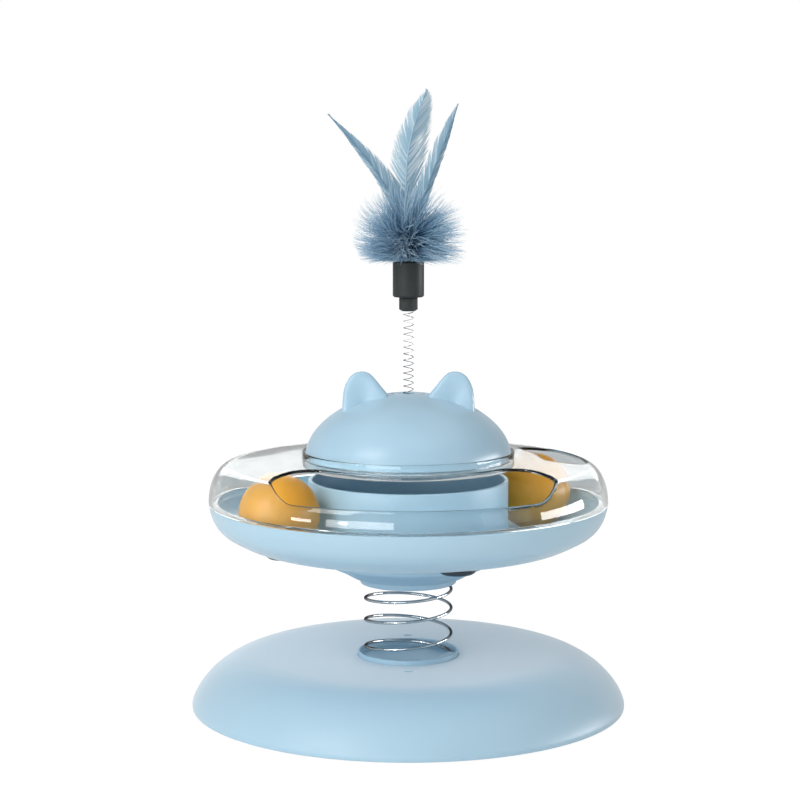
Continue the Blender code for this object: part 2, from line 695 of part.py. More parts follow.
def make_washer(name, bore, bottom, mat):
    top = bottom + WASHER_THICKNESS
    outline = [(bore, bottom), (WASHER_RADIUS, bottom), (WASHER_RADIUS, top), (bore, top)]
    return turned(name, outline, MEDIUM_SIDES, mat)


def make_lower_bush(mat):
    z = LOWER_BUSH_BOTTOM
    outline = [(AXLE_BORE, z), (BUSH_FLANGE_RADIUS, z), (BUSH_FLANGE_RADIUS, z + BUSH_FLANGE),
               (BUSH_RADIUS, z + BUSH_FLANGE), (BUSH_RADIUS, z + BUSH_FLANGE + BUSH_LENGTH),
               (AXLE_BORE, z + BUSH_FLANGE + BUSH_LENGTH)]
    return turned("lower_bush", outline, MEDIUM_SIDES, mat)


def make_upper_bush(mat):
    z = UPPER_FLANGE_BOTTOM
    outline = [(AXLE_BORE, z - BUSH_LENGTH), (BUSH_RADIUS, z - BUSH_LENGTH), (BUSH_RADIUS, z),
               (BUSH_FLANGE_RADIUS, z), (BUSH_FLANGE_RADIUS, z + BUSH_FLANGE - FIT),
               (AXLE_BORE, z + BUSH_FLANGE - FIT)]
    return turned("upper_bush", outline, MEDIUM_SIDES, mat)


def bowl_outer_line():
    points = [(SAUCER_RADIUS * r, JOINT_Z - BOWL_DEPTH * d) for r, d in BOWL_OUTLINE_SHARES]
    return smooth_line(points, BOWL_STEPS)


def outlet_places():
    return place_on_circle(OUTLET_COUNT, OUTLET_SPREAD, OUTLET_FIRST_DEG)


def make_bowl(mat):
    outer = bowl_outer_line()
    inner = offset_line(outer, -BOWL_WALL)
    inner = [(r, JOINT_Z if i == 0 else min(max(z, TRACK_FLOOR), JOINT_Z))
             for i, (r, z) in enumerate(inner)]
    rib_outer = HUB_RADIUS - HUB_WALL - FIT
    sleeve = SLEEVE_BORE + SLEEVE_WALL
    outline = (inner + [(SLEEVE_BORE, TRACK_FLOOR), (SLEEVE_BORE, SLEEVE_BOTTOM),
                        (sleeve, SLEEVE_BOTTOM), (sleeve, BOWL_UNDER),
                        (rib_outer - RIB_WALL, BOWL_UNDER),
                        (rib_outer - RIB_WALL, BOWL_UNDER - RIB_DEPTH),
                        (rib_outer, BOWL_UNDER - RIB_DEPTH), (rib_outer, BOWL_UNDER)]
               + outer[::-1])
    bowl = turned("saucer_bowl", outline, LARGE_SIDES, mat)
    bore = OUTLET_BORE + OUTLET_WALL + FIT
    cut(bowl, posts("outlet_hole_cutter", bore, BOWL_UNDER - OVERRUN, TRACK_FLOOR + OVERRUN,
                    outlet_places(), sides=MEDIUM_SIDES))
    cut(bowl, posts("drum_screw_hole_cutter", SCREW_RADIUS + FIT, BOWL_UNDER - OVERRUN,
                    TRACK_FLOOR + OVERRUN, place_on_circle(DRUM_SCREW_COUNT, DRUM_SCREW_SPREAD, 90)))
    return bowl


def make_hub_cover(mat):
    foot = SEAT_TOP - HUB_FOOT_DROP
    knee = foot + HUB_KNEE_RISE
    shoulder = knee + HUB_SHOULDER_RISE
    top = BOWL_UNDER - FIT
    bore = CUP_BORE + RUNNING_GAP
    outer = [(HUB_FOOT_RADIUS, foot), (HUB_KNEE_RADIUS, knee), (HUB_RADIUS, shoulder),
             (HUB_RADIUS, top)]
    inner_r = HUB_RADIUS - HUB_WALL
    lean = (shoulder - knee) / (HUB_RADIUS - HUB_KNEE_RADIUS)
    inner = [(inner_r, top), (inner_r, shoulder + HUB_WALL * (1 - lean)),
             (HUB_KNEE_RADIUS - HUB_WALL / 3, knee + HUB_WALL), (HUB_FOOT_RADIUS - HUB_WALL / 3,
                                                                 foot + HUB_WALL)]
    outline = [(bore, foot)] + outer + inner + [(bore, foot + HUB_WALL)]
    return turned("hub_cover", outline, LARGE_SIDES, mat)


def make_drum(mat):
    inner = DRUM_RADIUS - DRUM_WALL
    floor_top = DRUM_UNDER + DRUM_FLOOR
    outline = [(0, DRUM_UNDER), (inner, DRUM_UNDER), (inner, DRUM_FOOT), (DRUM_RADIUS, DRUM_FOOT),
               (DRUM_RADIUS, DRUM_TOP - DRUM_LIP), (DRUM_RADIUS - DRUM_LIP, DRUM_TOP),
               (inner + DRUM_LIP, DRUM_TOP), (inner, DRUM_TOP - DRUM_LIP), (inner, floor_top),
               (0, floor_top)]
    drum = turned("treat_drum", outline, LARGE_SIDES, mat)
    places = place_on_circle(DRUM_SCREW_COUNT, DRUM_SCREW_SPREAD, 90)
    add(drum, posts("drum_boss_guide", DRUM_BOSS_RADIUS, DRUM_FOOT,
                    DRUM_UNDER + ROOT_DEPTH, places))
    cut(drum, posts("drum_pilot_cutter", SCREW_RADIUS + FIT, DRUM_FOOT - OVERRUN,
                    DRUM_FOOT + DRUM_SCREW_GRIP, places))
    return drum


def make_outlet(name, x, y, mat):
    """A rubber grommet that lines a treat outlet in the bowl's floor."""
    body = OUTLET_BORE + OUTLET_WALL
    under = BOWL_UNDER - FIT
    low = under - OUTLET_DROP
    edge = OUTLET_DROP / 3
    outline = [(OUTLET_BORE, low), (OUTLET_FLANGE_RADIUS - 2 * edge, low),
               (OUTLET_FLANGE_RADIUS - edge / 2, low + edge), (OUTLET_FLANGE_RADIUS, under),
               (body, under), (body, TRACK_FLOOR), (OUTLET_BORE, TRACK_FLOOR)]
    ring = turned(name, outline, SMALL_SIDES, mat)
    ring.location = (x, y, 0)
    return ring


def cover_outer_line():
    shoulder = rounded_quarter(COVER_SHOULDER_RADIUS, COVER_FOOT,
                               SAUCER_RADIUS - COVER_SHOULDER_RADIUS, COVER_SHOULDER_RISE,
                               COVER_SHOULDER_SHARE, COVER_SHOULDER_SHARE, SHOULDER_STEPS)
    middle = (COVER_SHOULDER_RADIUS + NECK_RADIUS) / 2
    crown = (middle, SHOULDER_Z + COVER_CROWN * 2 / 3)
    return shoulder + [crown, (NECK_RADIUS, COVER_TOP)]


def bean(name, inner, outer, corners, centre_deg, half_deg, bottom, top):
    """An upright cutter shaped as part of a ring with round corners."""
    centre, half = math.radians(centre_deg), math.radians(half_deg)
    wide, narrow = corners
    points = []

    def arc(radius, start, end):
        for k in range(WINDOW_STEPS + 1):
            a = start + (end - start) * k / WINDOW_STEPS
            points.append((radius * math.cos(a), radius * math.sin(a)))

    def round_corner(radius, corner, angle, start, end):
        x, y = radius * math.cos(angle), radius * math.sin(angle)
        for k in range(1, CORNER_STEPS):
            a = angle + math.radians(start + (end - start) * k / CORNER_STEPS)
            points.append((x + corner * math.cos(a), y + corner * math.sin(a)))

    outer_half = half - math.asin(wide / (outer - wide))
    inner_half = half - math.asin(narrow / (inner + narrow))
    arc(outer, centre - outer_half, centre + outer_half)
    round_corner(outer - wide, wide, centre + outer_half, 0, 90)
    round_corner(inner + narrow, narrow, centre + inner_half, 90, 180)
    arc(inner, centre + inner_half, centre - inner_half)
    round_corner(inner + narrow, narrow, centre - inner_half, 180, 270)
    round_corner(outer - wide, wide, centre - outer_half, 270, 360)
    return solid(name, *prism(points, bottom, top), None, smooth=False)


def make_cover(mat):
    outer = cover_outer_line()
    inner = offset_line(outer, COVER_WALL)[1:-1]
    bowl_inside = SAUCER_RADIUS - 2 * BOWL_WALL - FIT
    outline = ([(bowl_inside - SPIGOT_WALL, COVER_FOOT - SPIGOT_DEPTH),
                (bowl_inside, COVER_FOOT - SPIGOT_DEPTH), (bowl_inside, COVER_FOOT)]
               + outer
               + [(NECK_RADIUS, NECK_TOP), (NECK_BORE, NECK_TOP), (NECK_BORE, LEDGE_TOP),
                  (NECK_BORE - LEDGE_REACH, LEDGE_TOP),
                  (NECK_BORE - LEDGE_REACH, LEDGE_TOP - LEDGE_THICKNESS),
                  (NECK_BORE, LEDGE_TOP - LEDGE_THICKNESS), (NECK_BORE, SKIRT_Z),
                  (NECK_RADIUS, SKIRT_Z), (NECK_RADIUS, COVER_TOP - COVER_WALL)]
               + inner[::-1]
               + [(bowl_inside - SPIGOT_WALL, COVER_FOOT + SPIGOT_WALL)])
    cover = turned("track_cover", outline, LARGE_SIDES, mat)
    low, high = COVER_FOOT + OVERRUN, NECK_TOP + OVERRUN
    front = (FRONT_WINDOW_INNER_RADIUS, FRONT_WINDOW_OUTER_RADIUS, FRONT_WINDOW_CORNERS)
    rear = (REAR_WINDOW_INNER_RADIUS, REAR_WINDOW_OUTER_RADIUS, REAR_WINDOW_CORNERS)
    windows = (("front", front, FRONT_WINDOW_DEG),
               ("rear_right", rear, REAR_RIGHT_WINDOW_DEG),
               ("rear", rear, REAR_WINDOW_DEG))
    for name, shape, (centre, half) in windows:
        cut(cover, bean(name + "_window_cutter", *shape, centre, half, low, high))
    return cover


def half_ball_outline(bottom_up):
    """Outline of a half shell whose open face lies on the ball's middle plane."""
    sign = 1 if bottom_up else -1
    outer, inner = [], []
    for k in range(BALL_ROWS + 1):
        a = PI / 2 * k / BALL_ROWS
        c = 0 if k == BALL_ROWS else math.cos(a)
        outer.append((BALL_RADIUS * c, sign * (FIT / 2 + BALL_RADIUS * math.sin(a))))
        hollow = BALL_RADIUS - BALL_WALL
        inner.append((hollow * c, sign * (FIT / 2 + hollow * math.sin(a))))
    line = outer + inner[::-1]
    return line if bottom_up else line[::-1]


def make_ball(name, angle_deg, mat):
    """A hollow ball moulded as two halves, on an empty in the middle of the track."""
    pivot = bpy.data.objects.new(name + "_pivot", None)
    bpy.context.scene.collection.objects.link(pivot)
    pivot.rotation_euler.z = math.radians(angle_deg)
    centre = (BALL_TRACK_RADIUS, 0, TRACK_FLOOR + FIT + BALL_RADIUS + FIT / 2)
    for part, up in (("top", True), ("bottom", False)):
        half = turned(name + "_" + part, half_ball_outline(up), BALL_SIDES, mat)
        half.parent = pivot
        half.location = centre


def lid_outer_line():
    return rounded_quarter(0, LID_SPRING_LINE, LID_RADIUS, LID_RISE,
                           LID_SIDE_SHARE, LID_TOP_SHARE, LID_STEPS)


def make_lid(mat):
    outer = [p for p in lid_outer_line() if p[0] > PLUG_RADIUS + FIT]
    seat = PLUG_RADIUS + FIT
    outer.append((seat, height_at(lid_outer_line(), seat)))
    inner = [p for p in offset_line(lid_outer_line(), LID_WALL)
             if p[0] > PLUG_STEM_RADIUS + PLUG_BOSS_WALL]
    boss = PLUG_STEM_RADIUS + PLUG_BOSS_WALL
    seat_z = PLUG_TOP - PLUG_HEAD - FIT
    boss_z = seat_z - PLUG_BOSS_DROP
    boss_root = height_at(offset_line(lid_outer_line(), LID_WALL), boss)
    outline = ([(LID_RADIUS - LID_WALL, LID_FOOT), (LID_RADIUS, LID_FOOT)] + outer
               + [(seat, seat_z), (PLUG_STEM_RADIUS + FIT, seat_z),
                  (PLUG_STEM_RADIUS + FIT, boss_z), (boss, boss_z), (boss, boss_root)]
               + inner[::-1])
    lid = turned("lid", outline, LARGE_SIDES, mat)
    for name, side in (("left", -1), ("right", 1)):
        add(lid, ear(name + "_ear_guide", side))
    cut(lid, turned("lid_hollow_cutter", hollow_outline(boss, boss_z), LARGE_SIDES, None))
    return lid


def hollow_outline(boss, boss_z):
    """The lid's inside, which the ears' roots are trimmed to."""
    core = boss + FIT
    inner = [p for p in offset_line(lid_outer_line(), LID_WALL + FIT) if p[0] > core]
    low = LID_FOOT + OVERRUN
    under_boss = boss_z - FIT
    return ([(0, low), (inner[0][0], low)] + inner
            + [(core, height_at(inner, core)), (core, under_boss), (0, under_boss)])


def ear(name, side):
    """One ear: a fin with a rounded outline, thinner at its tip and edges."""
    tip_z = LID_TOP + EAR_TIP
    line = [(-u * EAR_WIDTH_IN, -v * EAR_FOOT) for u, v in EAR_INNER_SHARES[::-1]]
    line.append((0, 0))
    line += [(u * EAR_WIDTH_OUT, -v * EAR_FOOT) for u, v in EAR_OUTER_SHARES]
    levels = ((-1.0, 0.74), (-0.62, 0.95), (0.0, 1.0), (0.62, 0.95), (1.0, 0.74))
    verts, faces = [], []
    root = sum(x for x, _ in line) / len(line)
    for depth_share, size_share in levels:
        for x, z in line:
            drop = -z / EAR_FOOT
            half = (EAR_TIP_THICKNESS + (EAR_THICKNESS - EAR_TIP_THICKNESS) * drop) / 2
            verts.append((side * (EAR_CENTRE + root + (x - root) * size_share),
                          EAR_PLANE + depth_share * half,
                          tip_z + (z + EAR_FOOT) * size_share - EAR_FOOT))
    count = len(line)
    for level in range(len(levels) - 1):
        for k in range(count):
            j = (k + 1) % count
            a = level * count
            faces.append([a + k, a + j, a + count + j, a + count + k])
    faces.append(list(range(count))[::-1])
    faces.append([(len(levels) - 1) * count + k for k in range(count)])
    if side > 0:
        faces = [f[::-1] for f in faces]
    return solid(name, verts, faces, None)


def make_plug(mat):
    socket = WHIP_OUTER_RADIUS + WHIP_SOCKET_GAP
    head_bottom = PLUG_TOP - PLUG_HEAD
    edge = PLUG_RADIUS - WHIP_SOCKET_GAP
    outline = [(0, head_bottom - PLUG_STEM), (PLUG_STEM_RADIUS, head_bottom - PLUG_STEM),
               (PLUG_STEM_RADIUS, head_bottom), (PLUG_RADIUS, head_bottom),
               (PLUG_RADIUS, PLUG_TOP - WHIP_SOCKET_GAP), (edge, PLUG_TOP), (socket, PLUG_TOP),
               (socket, PLUG_TOP - WHIP_SOCKET_DEPTH), (0, PLUG_TOP - WHIP_SOCKET_DEPTH)]
    return turned("whip_plug", outline, MEDIUM_SIDES, mat)


def make_connector(mat):
    socket = WHIP_OUTER_RADIUS + WHIP_SOCKET_GAP
    ceiling = CONNECTOR_Z + WHIP_SOCKET_DEPTH
    outline = [(0, ceiling), (socket, ceiling), (socket, CONNECTOR_Z),
               (CONNECTOR_RADIUS - CONNECTOR_EDGE, CONNECTOR_Z),
               (CONNECTOR_RADIUS, CONNECTOR_Z + CONNECTOR_EDGE),
               (CONNECTOR_RADIUS, CONNECTOR_TOP), (CONNECTOR_SPIGOT_RADIUS, CONNECTOR_TOP),
               (CONNECTOR_SPIGOT_RADIUS, SPIGOT_TOP), (0, SPIGOT_TOP)]
    return turned("teaser_connector", outline, MEDIUM_SIDES, mat)


def make_sleeve(mat):
    bore = CONNECTOR_SPIGOT_RADIUS + FIT
    ceiling = SPIGOT_TOP + FIT
    socket_z = ceiling + SLEEVE_WEB
    outline = [(0, ceiling), (bore, ceiling), (bore, SLEEVE_Z),
               (SLEEVE_RADIUS - 2 * CONNECTOR_EDGE, SLEEVE_Z),
               (SLEEVE_RADIUS, SLEEVE_Z + CONNECTOR_EDGE), (SLEEVE_RADIUS, SLEEVE_TOP),
               (QUILL_SOCKET_RADIUS, SLEEVE_TOP), (QUILL_SOCKET_RADIUS, socket_z), (0, socket_z)]
    return turned("teaser_sleeve", outline, MEDIUM_SIDES, mat)


def make_fluff(mat):
    """Tuft of down round the quills: a soft pear with a flared bore."""
    outer = []
    for k in range(FLUFF_STEPS + 1):
        t = k / FLUFF_STEPS
        swell = math.sin(PI * t ** 0.85) ** 0.7 if 0 < t < 1 else 0.0
        ends = FLUFF_NECK_RADIUS + (FLUFF_MOUTH + QUILL_RADIUS - FLUFF_NECK_RADIUS) * t
        outer.append((ends + (FLUFF_RADIUS - ends) * swell, FLUFF_Z + FLUFF_HEIGHT * t))
    bore = []
    for k in range(FLUFF_STEPS + 1):
        t = 1 - k / FLUFF_STEPS
        bore.append((FLUFF_BORE + (FLUFF_MOUTH - FLUFF_BORE) * t ** FLUFF_FLARE_SHARE,
                     FLUFF_Z + FLUFF_HEIGHT * t))
    return turned("fluff", outer + bore, MEDIUM_SIDES, mat)


def make_feather(name, socket_deg, tip, bow, width, turn_deg, mat):
    """A quill that rises from the sleeve and spreads into a thin vane.
    tip and bow are places: where the feather ends, and the point that draws it out."""
    a = math.radians(socket_deg)
    root = Vector((QUILL_SPREAD * math.cos(a), QUILL_SPREAD * math.sin(a), QUILL_Z))
    lift = Vector((root.x, root.y, bow[2] - FLUFF_HEIGHT / 3))
    bow, tip = Vector(bow), Vector(tip)
    verts, faces = [], []
    for i in range(FEATHER_STEPS + 1):
        t = i / FEATHER_STEPS
        m = 1 - t
        centre = m ** 3 * root + 3 * m * m * t * lift + 3 * m * t * t * bow + t ** 3 * tip
        along = (3 * m * m * (lift - root) + 6 * m * t * (bow - lift)
                 + 3 * t * t * (tip - bow)).normalized()
        face = Matrix.Rotation(math.radians(turn_deg), 3, along) @ Vector((0, -1, 0))
        side = along.cross(face).normalized()
        front = side.cross(along).normalized()
        u = (t - VANE_START_SHARE) / (1 - VANE_START_SHARE)
        spread = math.sin(PI * max(u, 0.0) ** VANE_POWER_SHARE) if 0 < u < 1 else 0.0
        half = QUILL_RADIUS * (1 - t * 0.7) + (width / 2) * spread
        thick = QUILL_RADIUS * (1 - t * 0.7)
        thick += (VANE_THICKNESS / 2 - thick) * min(spread * 2, 1.0)
        for k in range(FEATHER_SIDES):
            b = 2 * PI * k / FEATHER_SIDES
            verts.append(centre + side * half * math.cos(b) + front * thick * math.sin(b))
    for i in range(FEATHER_STEPS):
        for k in range(FEATHER_SIDES):
            j = (k + 1) % FEATHER_SIDES
            a0 = i * FEATHER_SIDES
            faces.append([a0 + k, a0 + FEATHER_SIDES + k, a0 + FEATHER_SIDES + j, a0 + j])
    faces.append(list(range(FEATHER_SIDES)))
    faces.append([FEATHER_STEPS * FEATHER_SIDES + k for k in range(FEATHER_SIDES)][::-1])
    return solid(name, verts, faces, mat)


# Feathers: socket angle, tip, drawing point, width, turn
CENTRE_TIP = (0.0097, 0.004, 0.0848)
LEFT_TIP = (-0.0388, -0.003, 0.0717)
RIGHT_TIP = (0.0240, -0.003, 0.0766)
CENTRE_BOW = (-0.001, 0.004, 0.045)
LEFT_BOW = (-0.0065, -0.003, 0.036)
RIGHT_BOW = (0.0100, -0.003, 0.036)
CENTRE_WIDTH = 0.0185
LEFT_WIDTH = 0.0085
RIGHT_WIDTH = 0.0080


def above_sleeve(place):
    return (place[0], place[1], SLEEVE_TOP + place[2])


def make_base(mats):
    make_base_shell(mats["base"])
    make_base_floor(mats["floor"])
    make_ballast(mats["steel"])
    make_spring_cup(mats["base"])
    pads = place_on_circle(PAD_COUNT, PAD_SPREAD, 45)
    for k, (x, y) in enumerate(pads, 1):
        pad = turned("foot_pad_%d" % k, [(0, 0), (PAD_RADIUS, 0), (PAD_RADIUS, PAD_THICKNESS),
                                         (0, PAD_THICKNESS)], SMALL_SIDES, mats["pad"])
        pad.location = (x, y, 0)
    screws = place_on_circle(BASE_SCREW_COUNT, BASE_SCREW_SPREAD)
    for k, (x, y) in enumerate(screws, 1):
        make_screw("base_screw_%d" % k, x, y, FLOOR_BOTTOM - FIT, BASE_SCREW_LENGTH, mats["steel"])


def make_pivot(mats):
    make_spring_seat(mats["seat"])
    make_axle(mats["steel"])
    make_washer("thrust_washer", AXLE_BORE, THRUST_BOTTOM, mats["bush"])
    make_washer("axle_washer", AXLE_SCREW_RADIUS + FIT, AXLE_TOP + FIT, mats["steel"])
    make_axle_screw(mats["steel"])


def make_saucer(mats):
    make_bowl(mats["bowl"])
    make_hub_cover(mats["hub"])
    make_drum(mats["drum"])
    make_cover(mats["clear"])
    make_lower_bush(mats["bush"])
    make_upper_bush(mats["bush"])
    for k, (x, y) in enumerate(outlet_places(), 1):
        make_outlet("treat_outlet_%d" % k, x, y, mats["outlet"])
    places = place_on_circle(DRUM_SCREW_COUNT, DRUM_SCREW_SPREAD, 90)
    length = FIT + BOWL_WALL + DRUM_SCREW_GRIP
    for k, (x, y) in enumerate(places, 1):
        make_screw("drum_screw_%d" % k, x, y, BOWL_UNDER - FIT, length, mats["steel"])


def make_teaser(mats):
    make_connector(mats["black"])
    make_sleeve(mats["black"])
    make_fluff(mats["fluff"])
    make_feather("feather_centre", 90, above_sleeve(CENTRE_TIP), above_sleeve(CENTRE_BOW),
                 CENTRE_WIDTH, 0, mats["feather"])
    make_feather("feather_left", 210, above_sleeve(LEFT_TIP), above_sleeve(LEFT_BOW),
                 LEFT_WIDTH, 25, mats["feather"])
    make_feather("feather_right", 330, above_sleeve(RIGHT_TIP), above_sleeve(RIGHT_BOW),
                 RIGHT_WIDTH, -25, mats["feather"])


def main():
    clear_scene()
    mats = {
        "base": material("base_plastic", "B4D3E4", 0.42),
        "floor": material("floor_plastic", "A9C6D6", 0.5),
        "bowl": material("bowl_plastic", "B4D5E6", 0.35),
        "drum": material("drum_plastic", "B0D2E4", 0.35),
        "hub": material("hub_plastic", "A9CBDD", 0.4),
        "seat": material("seat_plastic", "A9CBDD", 0.4),
        "lid": material("lid_plastic", "B4D5E6", 0.38),
        "clear": material("clear_plastic", "EEF4F5", 0.05, alpha=0.3),
        "ball": material("ball_plastic", "E8A838", 0.3),
        "outlet": material("outlet_rubber", "26323E", 0.3),
        "pad": material("pad_rubber", "3A3F42", 0.8),
        "bush": material("bush_plastic", "E6E6E0", 0.4),
        "steel": material("plated_steel", "C9CCCF", 0.25, metallic=1.0),
        "black": material("black_plastic", "444948", 0.45),
        "fluff": material("down", "7396AF", 0.9),
        "feather": material("dyed_feather", "8FB2C6", 0.8),
    }
    make_base(mats)
    main_points = main_spring_points()
    wire("main_spring", main_points, MAIN_WIRE / 2, mats["steel"])
    make_pivot(mats)
    make_saucer(mats)
    make_ball("ball_left", BALL_LEFT_DEG, mats["ball"])
    make_ball("ball_right", BALL_RIGHT_DEG, mats["ball"])
    make_lid(mats["lid"])
    make_plug(mats["lid"])
    whip_points = whip_spring_points()
    wire("whip_spring", whip_points, WHIP_WIRE / 2, mats["steel"])
    make_teaser(mats)
    half_turn = CURL_POINTS // 2
    print("main_spring least gap to itself: %.2f mm"
          % (1000 * least_gap(main_points, MAIN_WIRE, half_turn)))
    print("whip_spring least gap to itself: %.2f mm"
          % (1000 * least_gap(whip_points, WHIP_WIRE, half_turn)))
    print("joint heights in mm: rock %.2f, whip %.2f, total %.2f"
          % (1000 * ROCK_Z, 1000 * WHIP_Z, 1000 * (SLEEVE_TOP + CENTRE_TIP[2])))


main()
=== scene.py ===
"""Cat teaser toy: a weighted base, a coil spring, a spinning ball track under a clear cover,
a lid with cat ears and a feather teaser on a thin spring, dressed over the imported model."""
import math

import bmesh
import bpy
from mathutils import Matrix, Vector
from mathutils.geometry import delaunay_2d_cdt


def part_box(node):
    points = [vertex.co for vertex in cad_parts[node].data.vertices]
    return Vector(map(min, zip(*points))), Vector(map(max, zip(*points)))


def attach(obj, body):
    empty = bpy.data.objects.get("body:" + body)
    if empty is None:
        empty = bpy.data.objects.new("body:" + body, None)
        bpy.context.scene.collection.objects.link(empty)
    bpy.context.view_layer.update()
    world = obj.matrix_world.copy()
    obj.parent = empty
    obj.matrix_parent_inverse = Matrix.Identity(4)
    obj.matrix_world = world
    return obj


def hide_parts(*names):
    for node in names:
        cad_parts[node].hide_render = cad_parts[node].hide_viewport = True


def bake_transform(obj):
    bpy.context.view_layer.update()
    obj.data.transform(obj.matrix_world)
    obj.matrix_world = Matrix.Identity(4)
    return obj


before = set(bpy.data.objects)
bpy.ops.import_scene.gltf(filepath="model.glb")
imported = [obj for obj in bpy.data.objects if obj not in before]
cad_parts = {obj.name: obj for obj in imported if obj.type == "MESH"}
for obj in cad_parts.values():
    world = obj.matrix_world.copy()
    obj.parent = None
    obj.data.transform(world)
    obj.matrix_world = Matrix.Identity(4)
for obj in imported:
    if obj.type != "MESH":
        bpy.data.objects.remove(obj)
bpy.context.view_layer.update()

PI = math.pi
MM = 0.001                   # the outlines below are in millimetres
SIDES = 256                  # round a large moulding
FINE_SIDES = 96              # round a small one


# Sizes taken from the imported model, in millimetres
def span(*nodes):
    """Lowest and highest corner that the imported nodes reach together."""
    boxes = [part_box(node) for node in nodes]
    low = [min(b[0][i] for b in boxes) / MM for i in range(3)]
    high = [max(b[1][i] for b in boxes) / MM for i in range(3)]
    return low, high


def middle(*nodes):
    low, high = span(*nodes)
    return [(a + b) / 2 for a, b in zip(low, high)]


def z_range(node):
    low, high = span(node)
    return low[2], high[2]


def radius_of(node):
    """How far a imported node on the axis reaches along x."""
    return span(node)[1][0]


SHELL_FOOT, BASE_TOP = z_range("base_shell")
BASE_RADIUS = radius_of("base_shell")
CUP_BOTTOM, LIP_Z = z_range("spring_cup")
SEAT_BOTTOM, SEAT_TOP = z_range("spring_seat")
HUB_FOOT, HUB_TOP = z_range("hub_cover")
HUB_RADIUS = radius_of("hub_cover")
SAUCER_RADIUS, JOINT_Z = radius_of("saucer_bowl"), z_range("saucer_bowl")[1]
DRUM_FOOT, DRUM_TOP = z_range("treat_drum")
DRUM_RADIUS = radius_of("treat_drum")
OUTLET_FOOT, TRACK_FLOOR = z_range("treat_outlet_1")
SPIGOT_FOOT, NECK_TOP = z_range("track_cover")
LID_FOOT, EAR_TOP = z_range("lid")
LID_RADIUS = radius_of("lid")
PLUG_FOOT, PLUG_TOP = z_range("whip_plug")
CONNECTOR_FOOT = z_range("teaser_connector")[0]
SLEEVE_FOOT, SLEEVE_TOP = z_range("teaser_sleeve")
SLEEVE_RADIUS = radius_of("teaser_sleeve")
FLUFF_FOOT = z_range("fluff")[0]


# Materials
def linear_colour(hex_colour):
    """sRGB hex turned to linear light, with alpha."""
    out = []
    for i in (0, 2, 4):
        c = int(hex_colour[i:i + 2], 16) / 255
        out.append(c / 12.92 if c <= 0.04045 else ((c + 0.055) / 1.055) ** 2.4)
    return (*out, 1.0)


def grey(level):
    return (level, level, level, 1)


def add_node(tree, kind, feeds=None, **settings):
    """A node with its settings; feeds gives a socket a value or another node's output."""
    new = tree.nodes.new(kind)
    for key, value in settings.items():
        setattr(new, key, value)
    for socket, value in (feeds or {}).items():
        if isinstance(value, bpy.types.Node):
            value = value.outputs[0]
        if isinstance(value, bpy.types.NodeSocket):
            tree.links.new(value, new.inputs[socket])
        else:
            new.inputs[socket].default_value = value
    return new


def blank_material(name):
    mat = bpy.data.materials.new(name)
    mat.use_nodes = True
    mat.node_tree.nodes.clear()
    return mat, mat.node_tree


def end_material(mat, sockets):
    """Ends a material in one shader, whose sockets get these values or feeds."""
    shader = add_node(mat.node_tree, "ShaderNodeBsdfPrincipled", sockets)
    add_node(mat.node_tree, "ShaderNodeOutputMaterial", {"Surface": shader})
    return mat


def between(tree, factor, first, second, blend="MIX"):
    """A colour between two, each a hex colour or a socket."""
    ends = [linear_colour(c) if isinstance(c, str) else c for c in (first, second)]
    return add_node(tree, "ShaderNodeMix", {0: factor, 6: ends[0], 7: ends[1]},
                    data_type="RGBA", blend_type=blend).outputs[2]


def noise(tree, size, detail):
    """Noise fixed to the piece, its waves this many millimetres long."""
    place = add_node(tree, "ShaderNodeTexCoord").outputs["Object"]
    return add_node(tree, "ShaderNodeTexNoise", {"Vector": place, "Scale": 1 / (size * MM),
                                                 "Detail": detail}).outputs["Fac"]


def ranged(tree, value, low, high):
    return add_node(tree, "ShaderNodeMapRange", {"Value": value, "To Min": low,
                                                 "To Max": high}).outputs["Result"]


def bumped(tree, height, strength, depth):
    return add_node(tree, "ShaderNodeBump", {"Height": height, "Strength": strength,
                                             "Distance": depth * MM}).outputs["Normal"]


def attribute(tree, name):
    return add_node(tree, "ShaderNodeAttribute", attribute_name=name).outputs["Fac"]


def colour_ramp(tree, value, first, last, stops):
    """A ramp from the first colour to the last, by way of (place, colour) stops."""
    ramp = add_node(tree, "ShaderNodeValToRGB", {"Fac": value})
    marks = ramp.color_ramp.elements
    marks[0].color, marks[1].color = first, last
    for spot, colour in stops:
        marks.new(spot).color = colour
    return ramp.outputs["Color"]


def mix_shaders(tree, factor, first, second):
    return add_node(tree, "ShaderNodeMixShader", {0: factor, 1: first, 2: second})


def moulded_plastic(name, colour, shade, roughness, grain, depth, gloss=0.5, sheen=0.0):
    """Injection-moulded pale plastic. Its tone drifts a little where the melt flowed, and the
    spark-eroded mould leaves a grain that takes the edge off its highlights."""
    mat, tree = blank_material(name)
    return end_material(mat, {
        "Base Color": between(tree, noise(tree, 45, 2.0), colour, shade),
        "Roughness": ranged(tree, noise(tree, 9, 3.0), roughness * 0.9, roughness * 1.12),
        "Normal": bumped(tree, noise(tree, grain, 2.0), 0.35, depth), "IOR": 1.5,
        "Specular IOR Level": gloss, "Sheen Weight": sheen, "Sheen Roughness": 0.4})


